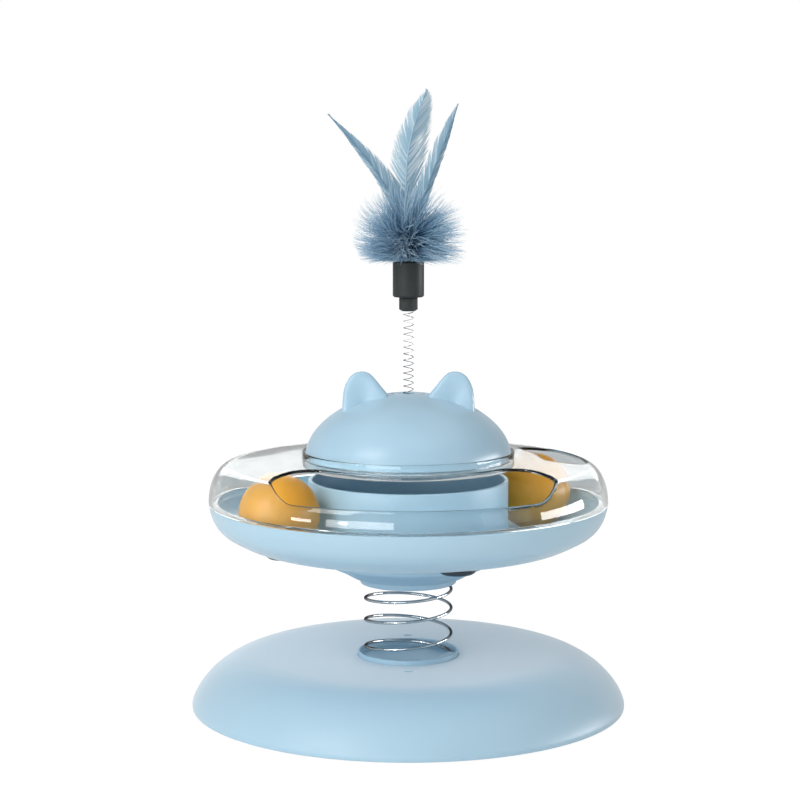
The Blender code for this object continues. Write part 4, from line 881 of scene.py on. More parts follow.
def main_path():
    points = []
    turns = MAIN_TURNS + 2 * MAIN_END_TURN
    count = round(turns * 64)
    for k in range(count + 1):
        turn = -MAIN_END_TURN + turns * k / count
        s = min(max(turn / MAIN_TURNS, 0.0), 1.0)
        rise = s + (MAIN_SWAY * s * (1 - s) * (s - MAIN_LOW_CROSSING)
                    * (MAIN_HIGH_CROSSING - s))
        a = 2 * PI * turn
        points.append((MAIN_RADIUS * math.cos(a), MAIN_RADIUS * math.sin(a),
                       MAIN_FOOT + (MAIN_HEAD - MAIN_FOOT) * rise))
    return points


def split_path(points, height):
    """The path below a height and above it, both with the point that lies on it."""
    for i in range(1, len(points)):
        if points[i - 1][2] < height <= points[i][2]:
            a, b = points[i - 1], points[i]
            t = (height - a[2]) / (b[2] - a[2])
            mid = tuple(p + (q - p) * t for p, q in zip(a, b))
            return points[:i] + [mid], [mid] + points[i:]
    raise ValueError("the path doesn't cross that height")


def make_spring(name, points, thickness, foot, mid, head, bodies, node, sides, mat):
    low, high = split_path(points, mid)
    for part, run, start, end, pair in (("lower", low, foot, mid, bodies[:2]),
                                        ("upper", high, mid, head, bodies[1:])):
        coil = wire("%s_%s_coils" % (name, part), run, thickness, mat, sides)
        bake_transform(coil)
        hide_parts(node)


def make_spring_seat():
    under = SEAT_TOP - PLATE
    bore = 4.3
    inner = CUP_BORE - CUP_WALL
    outline = rounded([(bore, under), (inner, under, 0.4), (inner, SEAT_BOTTOM, 0.3),
                       (CUP_BORE, SEAT_BOTTOM, 0.5), (CUP_BORE, SEAT_TOP, 0.4),
                       (bore, SEAT_TOP)])
    bm = bmesh.new()
    spin(bm, outline, SIDES)
    tab_top = MAIN_HEAD - MAIN_WIRE / 2 - FIT
    turn = 360 * MAIN_TURNS
    ring_sector(bm, inner - 4.2, inner + 0.3, tab_top - 1.2, tab_top, turn + 12, turn + 76)
    return to_object("spring_seat_moulding", bm, HUB_ABS)


# Saucer: hub cover, bowl, outlets, drum, clear cover
BOWL_WALL = 1.4
HUB_WALL = 1.8
HUB_FOOT_RADIUS = 28.4
HUB_FOOT_INSIDE = 27.8
HUB_KNEE_RADIUS = 34.0
HUB_KNEE_INSIDE = 33.4
DRUM_WALL = 2
DRUM_SCREW_HOLE = 1.6
DRUM_SCREW_SPREAD = 36.0
BUSH_BORE = 6.5
BUSH_BOSS = 9.8
BUSH_BOSS_TOP = 71.3
RIB_DEPTH = 2.9
RIM_EDGE = 0.25
BOWL_UNDER = TRACK_FLOOR - BOWL_WALL
BOWL_SHARES = ((1.0, 0.0), (0.989, 0.23), (0.965, 0.47), (0.93, 0.645), (0.886, 0.765),
               (0.846, 0.86), (0.80, 0.945), (0.75, 0.99), (0.62, 1.0))
OUTLET_SPREAD = 65.0
OUTLET_FIRST_DEG = 20.6
OUTLET_BORE = 5.5
OUTLET_WALL = 1.5
OUTLET_FLANGE = 9.2


def make_hub_cover():
    knee, shoulder = HUB_FOOT + 3.2, HUB_FOOT + 7.4
    bore = CUP_BORE + 0.5
    wall = HUB_WALL
    outline = rounded([(bore, HUB_FOOT, 0.2), (HUB_FOOT_RADIUS, HUB_FOOT, 0.9),
                       (HUB_KNEE_RADIUS, knee, 2.0),
                       (HUB_RADIUS, shoulder, 1.4), (HUB_RADIUS, HUB_TOP, 0.4),
                       (HUB_RADIUS - wall, HUB_TOP, 0.3), (HUB_RADIUS - wall, shoulder + 1, 1.0),
                       (HUB_KNEE_INSIDE, knee + wall, 1.0),
                       (HUB_FOOT_INSIDE, HUB_FOOT + wall, 0.5),
                       (bore, HUB_FOOT + wall, 0.2)])
    return turned("hub_cover_moulding", outline, HUB_ABS)


def make_bowl():
    depth = JOINT_Z - BOWL_UNDER
    corners = [(SAUCER_RADIUS * r, JOINT_Z - depth * d) for r, d in BOWL_SHARES]
    outer = evenly(smooth_line(corners, 16), 0.8)
    inner = []
    for i, (r, z) in enumerate(wall_line(outer, -BOWL_WALL)):
        inner.append((r, JOINT_Z if i == 0 else min(max(z, TRACK_FLOOR), JOINT_Z)))
    outer[0] = (outer[0][0], JOINT_Z - RIM_EDGE)
    rim = [(outer[0][0] - RIM_EDGE, JOINT_Z), (inner[0][0] + RIM_EDGE, JOINT_Z)]
    inner[0] = (inner[0][0], JOINT_Z - RIM_EDGE)
    rib = HUB_RADIUS - HUB_WALL - FIT
    outline = (rim[1:] + inner + [(BUSH_BORE, TRACK_FLOOR), (BUSH_BORE, BUSH_BOSS_TOP),
                                  (BUSH_BOSS, BUSH_BOSS_TOP), (BUSH_BOSS, BOWL_UNDER),
                                  (rib - 1.6, BOWL_UNDER), (rib - 1.6, BOWL_UNDER - RIB_DEPTH),
                                  (rib, BOWL_UNDER - RIB_DEPTH), (rib, BOWL_UNDER)] + outer[::-1] + rim[:1])
    bowl = turned("saucer_bowl_moulding", outline, BOWL_ABS)
    for radius, spread, first, count in ((OUTLET_BORE + OUTLET_WALL + FIT, OUTLET_SPREAD,
                                          OUTLET_FIRST_DEG, 4), (DRUM_SCREW_HOLE, DRUM_SCREW_SPREAD, 90, 3)):
        hole = turned("hole", [(0, BOWL_UNDER - 2), (radius, BOWL_UNDER - 2),
                               (radius, TRACK_FLOOR + 2), (0, TRACK_FLOOR + 2)], BOWL_ABS, 64)
        cut_away(bowl, on_circle("holes", hole, count, spread, first, BOWL_ABS))
    return bowl


def make_outlets():
    body = OUTLET_BORE + OUTLET_WALL
    under = BOWL_UNDER - FIT
    outline = rounded([(OUTLET_BORE, OUTLET_FOOT, 0.4), (OUTLET_FLANGE - 1.7, OUTLET_FOOT, 0.6),
                       (OUTLET_FLANGE - 0.4, OUTLET_FOOT + 0.9, 0.8), (OUTLET_FLANGE, under, 0.3),
                       (body, under), (body, TRACK_FLOOR, 0.3), (OUTLET_BORE, TRACK_FLOOR, 0.3)])
    ring = turned("outlet", outline, OUTLET_RUBBER, FINE_SIDES)
    return on_circle("treat_outlet_grommets", ring, 4, OUTLET_SPREAD, OUTLET_FIRST_DEG,
                     OUTLET_RUBBER)


def make_drum():
    inner = DRUM_RADIUS - DRUM_WALL
    under = DRUM_FOOT + 4.9
    outline = rounded([(0, under), (inner, under, 0.6), (inner, DRUM_FOOT, 0.3),
                       (DRUM_RADIUS, DRUM_FOOT, 0.6), (DRUM_RADIUS, DRUM_TOP, 0.6),
                       (inner, DRUM_TOP, 0.6), (inner, under + 2, 2.0), (0, under + 2)],
                      closed=False)
    return turned("treat_drum_moulding", outline, DRUM_ABS)


COVER_WALL = 1.3
COVER_FOOT = JOINT_Z + FIT
SHOULDER_RADIUS = 88.0
SHOULDER_Z = COVER_FOOT + 19.0
COVER_TOP = LID_FOOT
COVER_CROWN = 2.8            # how far the cover rises past its shoulder
SKIRT_DEPTH = 4.3
LEDGE_WIDTH = 2.8
LEDGE_THICK = 1.5
EDGE_STEP = 1.3              # between points along a window's edge
NECK_BORE = LID_RADIUS + FIT
NECK_RADIUS = NECK_BORE + 1.5
# Windows: centre and half angle in degrees, inner and outer radius, outer and inner corners
FRONT_SHAPE = (DRUM_RADIUS + 9.2, SAUCER_RADIUS - 2.5, 24.0, 12.0)
REAR_SHAPE = (DRUM_RADIUS + 17.2, SAUCER_RADIUS - 10.8, 9.0, 9.0)
WINDOWS = ((-88.0, 55.0, *FRONT_SHAPE), (15.0, 20.0, *REAR_SHAPE), (100.0, 20.0, *REAR_SHAPE))


def cover_line():
    """Outside of the cover, from the joint over the shoulder to the neck."""
    shoulder = rounded_quarter(SHOULDER_RADIUS, COVER_FOOT, SAUCER_RADIUS - SHOULDER_RADIUS,
                               SHOULDER_Z - COVER_FOOT, 2.1, 2.1, 40)
    crown = ((SHOULDER_RADIUS + NECK_RADIUS) / 2, SHOULDER_Z + COVER_CROWN * 2 / 3)
    rest = smooth_line([shoulder[-2], shoulder[-1], crown, (NECK_RADIUS, COVER_TOP)], 16)[17:]
    return evenly(shoulder + rest, 1.3)


def window_outline(centre_deg, half_deg, inner, outer, wide, narrow, grow_by):
    """Plan of a window: part of a ring with round corners, made larger by grow_by."""
    centre, half = math.radians(centre_deg), math.radians(half_deg)
    outer_half = half - math.asin(wide / (outer - wide))
    inner_half = half - math.asin(narrow / (inner + narrow))
    points = []

    def arc(x, y, radius, start, end, step=EDGE_STEP):
        count = max(3, round(abs(end - start) * radius / step))
        for k in range(count):
            a = start + (end - start) * k / count
            points.append((x + radius * math.cos(a), y + radius * math.sin(a)))

    def bend(radius, corner, angle, start, end):
        arc(radius * math.cos(angle), radius * math.sin(angle), corner + grow_by,
            angle + math.radians(start), angle + math.radians(end), 0.8)

    def side(first, last):
        """The straight stretch between two corners, left out where they meet."""
        count = int(math.dist(first, last) / EDGE_STEP)
        for k in range(1, count):
            t = k / count
            points.append((first[0] + (last[0] - first[0]) * t,
                           first[1] + (last[1] - first[1]) * t))

    def off(radius, corner, angle, turn):
        a = angle + math.radians(turn)
        return (radius * math.cos(angle) + (corner + grow_by) * math.cos(a),
                radius * math.sin(angle) + (corner + grow_by) * math.sin(a))

    arc(0, 0, outer + grow_by, centre - outer_half, centre + outer_half)
    bend(outer - wide, wide, centre + outer_half, 0, 90)
    side(off(outer - wide, wide, centre + outer_half, 90),
         off(inner + narrow, narrow, centre + inner_half, 90))
    bend(inner + narrow, narrow, centre + inner_half, 90, 180)
    arc(0, 0, inner - grow_by, centre + inner_half, centre - inner_half)
    bend(inner + narrow, narrow, centre - inner_half, 180, 270)
    side(off(inner + narrow, narrow, centre - inner_half, 270),
         off(outer - wide, wide, centre - outer_half, 270))
    bend(outer - wide, wide, centre - outer_half, 270, 360)
    return points


def inside(point, loop):
    """Whether a point lies within a closed loop."""
    x, y = point
    odd = False
    for (x0, y0), (x1, y1) in zip(loop, loop[1:] + loop[:1]):
        if (y0 > y) != (y1 > y) and x < x0 + (x1 - x0) * (y - y0) / (y1 - y0):
            odd = not odd
    return odd


def make_cover():
    """The clear cover. Its skin is laid out flat, where radius stands for the way along the
    outline, cut round the windows there and folded back up."""
    line = cover_line()
    back = line[::-1]
    way = [0.0]
    for a, b in zip(back, back[1:]):
        way.append(way[-1] + math.dist(a, b))
    way = [NECK_RADIUS + w for w in way]
    radii = [p[0] for p in back]
    heights = [p[1] for p in back]
    normals = []
    for i in range(len(back)):
        a, b = back[max(i - 1, 0)], back[min(i + 1, len(back) - 1)]
        size = math.dist(a, b)
        normals.append((-(b[1] - a[1]) / size, (b[0] - a[0]) / size))
    normals[0] = (0.0, 1.0)
    normals[-1] = (1.0, 0.0)

    def lookup(keys, values, key):
        key = min(max(key, keys[0]), keys[-1])
        i = 1
        while keys[i] < key and i < len(keys) - 1:
            i += 1
        t = (key - keys[i - 1]) / max(keys[i] - keys[i - 1], 1e-9)
        a, b = values[i - 1], values[i]
        if isinstance(a, tuple):
            return tuple(p + (q - p) * t for p, q in zip(a, b))
        return a + (b - a) * t

    def flat(x, y):
        r = math.hypot(x, y)
        w = lookup(radii, way, r)
        return (x * w / r, y * w / r)

    def fold(x, y):
        """Place and outward direction of a laid-out point."""
        w = math.hypot(x, y)
        r, z = lookup(way, radii, w), lookup(way, heights, w)
        nr, nz = lookup(way, normals, w)
        c, s = x / w, y / w
        return Vector((r * c, r * s, z)), Vector((nr * c, nr * s, nz)).normalized()

    loops = [[flat(x, y) for x, y in window_outline(*shape, COVER_WALL / 2)]
             for shape in WINDOWS]
    points, edges = [], []

    def add_loop(loop):
        first = len(points)
        points.extend(Vector(p) for p in loop)
        edges.extend((first + k, first + (k + 1) % len(loop)) for k in range(len(loop)))
        return first

    for rim in (way[0], way[-1]):
        add_loop([(rim * math.cos(2 * PI * k / SIDES), rim * math.sin(2 * PI * k / SIDES))
                  for k in range(SIDES)])
    starts = [add_loop(loop) for loop in loops]
    spacing = 1.5
    edge_points = {}
    for loop in loops:
        for x, y in loop:
            edge_points.setdefault((round(x / spacing), round(y / spacing)), []).append((x, y))
    for row, w in enumerate(way[1:-1]):
        count = SIDES if w > 75 else SIDES * 3 // 4
        for k in range(count):
            a = 2 * PI * (k + (row % 2) / 2) / count
            x, y = w * math.cos(a), w * math.sin(a)
            cell = (round(x / spacing), round(y / spacing))
            close = [p for i in (-1, 0, 1) for j in (-1, 0, 1)
                     for p in edge_points.get((cell[0] + i, cell[1] + j), ())]
            if any(math.dist(p, (x, y)) < 0.6 * spacing for p in close):
                continue
            if any(inside((x, y), loop) for loop in loops):
                continue
            points.append(Vector((x, y)))
    verts2, _, faces2, origin, _, _ = delaunay_2d_cdt(points, edges, [], 0, 1e-5)
    place = {}
    for new, old in enumerate(origin):
        for index in old:
            place[index] = new
    bm = bmesh.new()
    outside, under = [], []
    for p in verts2:
        spot, normal = fold(p.x, p.y)
        outside.append(bm.verts.new(spot * MM))
        under.append(bm.verts.new((spot - normal * COVER_WALL) * MM))
    for face in faces2:
        cx = sum(verts2[i].x for i in face) / len(face)
        cy = sum(verts2[i].y for i in face) / len(face)
        w = math.hypot(cx, cy)
        if w < way[0] * math.cos(PI / SIDES) - 1e-4 or w > way[-1]:
            continue
        if any(inside((cx, cy), loop) for loop in loops):
            continue
        bm.faces.new([outside[i] for i in face])
        bm.faces.new([under[i] for i in face[::-1]])
    for start, loop in zip(starts, loops):
        round_window_edge(bm, [place[start + k] for k in range(len(loop))], loop, fold,
                          outside, under)
    close_cover(bm, [outside, under], line)
    bmesh.ops.remove_doubles(bm, verts=bm.verts, dist=0.01 * MM)
    return to_object("track_cover_moulding", bm, CLEAR_PS, 50)


def round_window_edge(bm, indices, loop, fold, outside, under):
    """A half-round edge between the outer and the inner skin of a window."""
    steps = 6
    count = len(loop)
    rows = []
    for k, index in enumerate(indices):
        before, after = loop[k - 1], loop[(k + 1) % count]
        spot, normal = fold(*loop[k])
        run = fold(*after)[0] - fold(*before)[0]
        inwards = normal.cross(run).normalized()
        centre = spot - normal * COVER_WALL / 2
        row = [outside[index]]
        for step in range(1, steps):
            a = PI * step / steps
            off = (normal * math.cos(a) + inwards * math.sin(a)) * (COVER_WALL / 2)
            row.append(bm.verts.new((centre + off) * MM))
        row.append(under[index])
        rows.append(row)
    for k in range(count):
        a, b = rows[k], rows[(k + 1) % count]
        for e in range(steps):
            bm.faces.new((a[e], b[e], b[e + 1], a[e + 1]))


def close_cover(bm, skins, line):
    """Neck, ledge and skirt at the cover's middle and the spigot at its edge."""
    top_z = line[-1][1]
    skirt = COVER_TOP - SKIRT_DEPTH
    ledge = LID_FOOT - FIT
    neck = rounded([(NECK_RADIUS, top_z), (NECK_RADIUS, NECK_TOP, 0.5), (NECK_BORE, NECK_TOP, 0.4),
                    (NECK_BORE, ledge), (NECK_BORE - LEDGE_WIDTH, ledge, 0.3),
                    (NECK_BORE - LEDGE_WIDTH, ledge - LEDGE_THICK, 0.3),
                    (NECK_BORE, ledge - LEDGE_THICK),
                    (NECK_BORE, skirt, 0.4), (NECK_RADIUS, skirt, 0.4),
                    (NECK_RADIUS, top_z - COVER_WALL)], closed=False, steps=4)
    bowl_inside = SAUCER_RADIUS - 2 * BOWL_WALL - FIT
    foot = rounded([(SAUCER_RADIUS - COVER_WALL, COVER_FOOT),
                    (bowl_inside - 1.5, COVER_FOOT + 1.0, 0.3),
                    (bowl_inside - 1.5, SPIGOT_FOOT, 0.4), (bowl_inside, SPIGOT_FOOT, 0.3),
                    (bowl_inside, COVER_FOOT), (SAUCER_RADIUS, COVER_FOOT)], closed=False,
                   steps=4)
    for outline in (neck, foot):
        bridge(bm, [add_ring(bm, r, z) for r, z in outline])


# Balls
BALL_RADIUS = 19.5


def make_ball(name, tilt_deg, turn_deg):
    """A ball with a fine seam where its halves meet, as it lies after rolling."""
    line = []
    rows = 56
    for k in range(rows + 1):
        a = -PI / 2 + PI * k / rows
        r = 0.0 if k in (0, rows) else BALL_RADIUS * math.cos(a)
        line.append((r, BALL_RADIUS * math.sin(a)))
    seam = [(BALL_RADIUS - 0.02, -0.22), (BALL_RADIUS - 0.16, -0.05), (BALL_RADIUS - 0.16, 0.05),
            (BALL_RADIUS - 0.02, 0.22)]
    half = rows // 2
    line = line[:half] + seam + line[half + 1:]
    bm = bmesh.new()
    spin(bm, line, 112)
    where = Vector(middle(name + "_top", name + "_bottom")) * MM
    turn = (Matrix.Rotation(math.radians(turn_deg), 4, "Z")
            @ Matrix.Rotation(math.radians(tilt_deg), 4, "X"))
    bmesh.ops.transform(bm, matrix=Matrix.Translation(where) @ turn, verts=bm.verts)
    return to_object(name + "_moulding", bm, BALL_PP, 40)


# Lid with ears and the whip's plug
LID_SKIRT = 2.4
LID_WALL = 2.0
LID_TOP = PLUG_TOP + FIT
PLUG_RADIUS = 8.0
PLUG_STEM = 4.7
WHIP_OUTER = 2.6
EAR_CENTRE = 22.5
EAR_PLANE = -6.5
EAR_FOOT = 21.5
EAR_THICKNESS = 8.5
EAR_TIP_THICKNESS = 4.0
EAR_OUT = 10.4
EAR_IN = 16.5
EAR_OUTER_SHARES = ((0.30, 0.018), (0.60, 0.118), (0.82, 0.30), (0.94, 0.53), (1.0, 1.0))
EAR_INNER_SHARES = ((0.16, 0.027), (0.33, 0.136), (0.55, 0.345), (0.78, 0.58), (1.0, 1.0))


def make_lid():
    spring_line = LID_FOOT + LID_SKIRT
    outer = evenly(rounded_quarter(0, spring_line, LID_RADIUS, LID_TOP - spring_line,
                                   2.0, 1.75, 200), 0.8)
    seat = PLUG_RADIUS + FIT
    stem = PLUG_STEM + FIT
    seat_z = PLUG_TOP - PLUG_HEAD - FIT
    boss = PLUG_STEM + 5.5
    boss_z = seat_z - 3.6
    inner = [p for p in wall_line(outer, LID_WALL) if p[0] > boss + 0.5]
    dome = [p for p in outer if p[0] > seat + 0.4]
    top = height_at(outer, seat)
    recess = rounded([dome[-1], (seat, top, 0.3), (seat, seat_z, 0.2), (stem, seat_z, 0.2),
                      (stem, boss_z, 0.3), (boss, boss_z, 0.5), (boss, inner[-1][1], 0.5),
                      inner[-1]], closed=False)
    foot = rounded([inner[0], (LID_RADIUS - LID_WALL, LID_FOOT, 0.3), (LID_RADIUS, LID_FOOT, 0.4),
                    outer[0]], closed=False)
    outline = foot[1:-1] + dome[:-1] + recess[:-1] + inner[::-1]
    lid = turned("lid_moulding", outline, LID_ABS)
    for side in (-1, 1):
        combine(lid, make_ear(side), "UNION")
    hollow = rounded([(0, LID_FOOT - 3), (LID_RADIUS - LID_WALL - 0.1, LID_FOOT - 3),
                      (LID_RADIUS - LID_WALL - 0.1, spring_line)], closed=False)
    hollow += [(r - 0.05, z - 0.1) for r, z in inner[1:]]
    hollow += [(boss + 0.1, inner[-1][1] - 0.1), (boss + 0.1, boss_z - 0.1), (0, boss_z - 0.1)]
    cut_away(lid, turned("hollow", hollow, LID_ABS))
    lid.data.set_sharp_from_angle(angle=math.radians(28))
    return lid


def make_ear(side):
    """One ear: a smooth fin with a softly crowned face and well-rounded edges."""
    corners = [(-u * EAR_IN, -v * EAR_FOOT) for u, v in EAR_INNER_SHARES[::-1]]
    corners.append((0.0, 0.0))
    corners += [(u * EAR_OUT, -v * EAR_FOOT) for u, v in EAR_OUTER_SHARES]
    line = evenly(smooth_line(corners, 12), 0.5)
    root = sum(x for x, _ in line) / len(line)
    levels = []
    for k in range(13):
        a = -PI / 2 + PI * k / 12
        levels.append((math.sin(a), 1 - 0.2 * (1 - math.cos(a)) ** 1.4))
    crown = [(1.0 + 0.06 * (1 - s * s), 0.8 * s) for s in (0.9, 0.7, 0.5, 0.3, 0.12)]
    levels = [(-d, s) for d, s in crown[::-1]] + levels + crown
    bm = bmesh.new()
    rows = []
    for depth_share, size in levels:
        row = []
        for x, z in line:
            drop = -z / EAR_FOOT
            half = (EAR_TIP_THICKNESS + (EAR_THICKNESS - EAR_TIP_THICKNESS) * drop) / 2
            row.append(bm.verts.new((side * (EAR_CENTRE + root + (x - root) * size) * MM,
                                     (EAR_PLANE + depth_share * half) * MM,
                                     (EAR_TOP + (z + EAR_FOOT) * size - EAR_FOOT) * MM)))
        rows.append(row)
    bridge(bm, rows)
    cap(bm, rows)
    return to_object("ear", bm, LID_ABS, 60)


def make_plug():
    head = PLUG_TOP - PLUG_HEAD
    socket = WHIP_OUTER + 0.6
    outline = rounded([(0, PLUG_FOOT), (PLUG_STEM, PLUG_FOOT, 0.5), (PLUG_STEM, head),
                       (PLUG_RADIUS, head, 0.3), (PLUG_RADIUS, PLUG_TOP, 0.7),
                       (socket, PLUG_TOP, 0.3), (socket, PLUG_TOP - PLATE, 0.2),
                       (0, PLUG_TOP - PLATE)], closed=False)
    return turned("whip_plug_moulding", outline, LID_ABS, FINE_SIDES)


# Teaser: thin spring, connector, sleeve
WHIP_WIRE = 0.4
WHIP_TURNS = 13.5
WHIP_RADIUS = WHIP_OUTER - WHIP_WIRE / 2
WHIP_FOOT = PLUG_TOP - PLATE + FIT + WHIP_WIRE / 2
WHIP_HEAD = CONNECTOR_FOOT + PLATE - FIT - WHIP_WIRE / 2
WHIP_MIDDLE = (WHIP_FOOT + WHIP_HEAD) / 2
CONNECTOR_TOP = CONNECTOR_FOOT + 6.6
CONNECTOR_RADIUS = 4.6
SPIGOT_TOP = CONNECTOR_TOP + 9.2
SPIGOT_RADIUS = 3.4
GRIP_RIBS = 28
SLEEVE_BORE = 3.7
QUILL_WELL = 3.0
WEB = 1.5                    # between the sleeve's two bores
QUILL_SPREAD = 1.4


def whip_path():
    count = round(WHIP_TURNS * 40)
    points = []
    for k in range(count + 1):
        a = 2 * PI * WHIP_TURNS * k / count
        points.append((WHIP_RADIUS * math.cos(a), WHIP_RADIUS * math.sin(a),
                       WHIP_FOOT + (WHIP_HEAD - WHIP_FOOT) * k / count))
    return points


def make_connector():
    """The plug on the thin spring, with fine grip ribs round it."""
    socket = WHIP_OUTER + 0.6
    ceiling = CONNECTOR_FOOT + PLATE
    outline = rounded([(0, ceiling), (socket, ceiling), (socket, CONNECTOR_FOOT, 0.2),
                       (CONNECTOR_RADIUS, CONNECTOR_FOOT, 0.7)], closed=False)
    top = rounded([(CONNECTOR_RADIUS, CONNECTOR_FOOT + 0.8), (CONNECTOR_RADIUS, CONNECTOR_TOP, 0.4),
                   (SPIGOT_RADIUS, CONNECTOR_TOP), (SPIGOT_RADIUS, SPIGOT_TOP, 0.4),
                   (0, SPIGOT_TOP)], closed=False)
    bm = bmesh.new()
    spin(bm, outline[:-1] + top, 6 * GRIP_RIBS)
    for vert in bm.verts:
        p = vert.co / MM
        r = math.hypot(p.x, p.y)
        if r > CONNECTOR_RADIUS - 0.3:
            groove = 0.5 - 0.5 * math.cos(GRIP_RIBS * math.atan2(p.y, p.x))
            share = 1 - 0.16 * groove / r
            vert.co.x *= share
            vert.co.y *= share
    return to_object("teaser_connector_moulding", bm, BLACK_ABS, 50)


def make_sleeve():
    ceiling = SPIGOT_TOP + FIT
    web = ceiling + WEB
    outline = rounded([(0, ceiling), (SLEEVE_BORE, ceiling, 0.3), (SLEEVE_BORE, SLEEVE_FOOT, 0.3),
                       (SLEEVE_RADIUS - 0.6, SLEEVE_FOOT, 0.5),
                       (SLEEVE_RADIUS, SLEEVE_FOOT + 0.7, 0.5), (SLEEVE_RADIUS, SLEEVE_TOP, 0.5),
                       (QUILL_WELL, SLEEVE_TOP, 0.3), (QUILL_WELL, web, 0.3), (0, web)],
                      closed=False)
    return turned("teaser_sleeve_moulding", outline, BLACK_ABS, FINE_SIDES)


# Down and feathers
def make_fluff():
    """A core that the fine strands of down stand on, dark with the same painted shade as their roots."""
    line = smooth_line([(0.5, FLUFF_FOOT + 0.2), (5.0, FLUFF_FOOT + 0.5), (7.0, FLUFF_FOOT + 4),
                        (8.2, FLUFF_FOOT + 9), (7.6, FLUFF_FOOT + 14), (5.0, FLUFF_FOOT + 18),
                        (2.5, FLUFF_FOOT + 19), (0.5, FLUFF_FOOT + 19)], 4)
    outline = [(0, line[0][1])] + line[1:-1] + [(0, line[-1][1])]
    core = turned("fluff_core", outline, DOWN, 48)
    source = core.copy()
    source.data = core.data.copy()
    bpy.context.scene.collection.objects.link(source)
    strands = grow("fluff_strands", source, DOWN_TREE, {
        "Density": 4.2e6, "Shortest": 9 * MM, "Longest": 22 * MM, "Lean": 1.8, "Lift": 0.24,
        "Droop": 0.05, "Clump size": 4.5 * MM, "Curl": 0.17, "Thinness": 0.0088, "Seed": 7,
        "Material": DOWN})
    return core, strands


def quill_line(socket_deg, tip, bow):
    """The quill's course, from its socket in the sleeve to the feather's tip."""
    a = math.radians(socket_deg)
    root = Vector((QUILL_SPREAD * math.cos(a), QUILL_SPREAD * math.sin(a),
                   SPIGOT_TOP + FIT + WEB + FIT))
    tip = Vector((tip[0], tip[1], SLEEVE_TOP + tip[2]))
    bow = Vector((bow[0], bow[1], SLEEVE_TOP + bow[2]))
    lift = Vector((root.x, root.y, bow.z - 32.5 / 3))
    points = []
    steps = 48
    for i in range(steps + 1):
        t = i / steps
        m = 1 - t
        points.append(tuple(m ** 3 * root + 3 * m * m * t * lift + 3 * m * t * t * bow
                            + t ** 3 * tip))
    return points


def quill_rod(name, points, foot, tip, mat):
    """The tapered quill itself."""
    curve = poly_curve(name, points)
    curve.bevel_depth = foot * MM
    curve.bevel_resolution = 3
    curve.use_fill_caps = True
    for k, point in enumerate(curve.splines[0].points):
        point.radius = 1 + (tip / foot - 1) * k / (len(points) - 1)
    shaft = place_object(name, curve)
    mesh = baked(shaft)
    bpy.data.objects.remove(shaft)
    mesh.materials.clear()
    mesh.materials.append(mat)
    mesh.shade_smooth()
    return place_object(name, mesh)


def make_feather(name, socket_deg, tip, bow, values, mat, quill):
    points = quill_line(socket_deg, tip, bow)
    shaft = quill_rod(name + "_quill", points, *quill)
    path = place_object(name + "_path", poly_curve(name + "_path", points))
    return shaft, grow(name + "_vane", path, VANE_TREE, {**values, "Material": mat}, 60)


# The pieces hung on their bodies; the springs stay unhung
put(make_base_shell(), "base", "base_plastic", "base_shell")
put(make_spring_cup(), "base", "base_plastic", "spring_cup")
put(make_base_floor(), "base", "floor_plastic", "base_floor")
put(make_pads(), "base", "pad_rubber", "foot_pad_1", "foot_pad_2", "foot_pad_3", "foot_pad_4")
put(make_base_screws(), "base", "plated_steel",
    "base_screw_1", "base_screw_2", "base_screw_3", "base_screw_4")
make_spring("main_spring", main_path(), MAIN_WIRE, MAIN_FOOT, MAIN_MIDDLE, MAIN_HEAD,
            ("base", "spring", "pivot"), "main_spring", 20, NICKEL)
put(make_spring_seat(), "pivot", "hub_plastic", "spring_seat")
put(make_hub_cover(), "saucer", "hub_plastic", "hub_cover")
put(make_bowl(), "saucer", "bowl_plastic", "saucer_bowl")
put(make_outlets(), "saucer", "outlet_rubber",
    "treat_outlet_1", "treat_outlet_2", "treat_outlet_3", "treat_outlet_4")
put(make_drum(), "saucer", "bowl_plastic", "treat_drum")
put(make_cover(), "saucer", "clear_plastic", "track_cover")
put(make_ball("ball_left", 62, 20), "left_ball", "ball_plastic",
    "ball_left_top", "ball_left_bottom")
put(make_ball("ball_right", 74, -35), "right_ball", "ball_plastic",
    "ball_right_top", "ball_right_bottom")
put(make_lid(), "cap", "lid_plastic", "lid")
put(make_plug(), "cap", "lid_plastic", "whip_plug")
make_spring("whip_spring", whip_path(), WHIP_WIRE, WHIP_FOOT, WHIP_MIDDLE, WHIP_HEAD,
            ("cap", "whip", "stem"), "whip_spring", 10, DARK_WIRE)
put(make_connector(), "stem", "black_plastic", "teaser_connector")
put(make_sleeve(), "head", "black_plastic", "teaser_sleeve")
for piece in make_fluff():
    put(piece, "head", "down", "fluff")

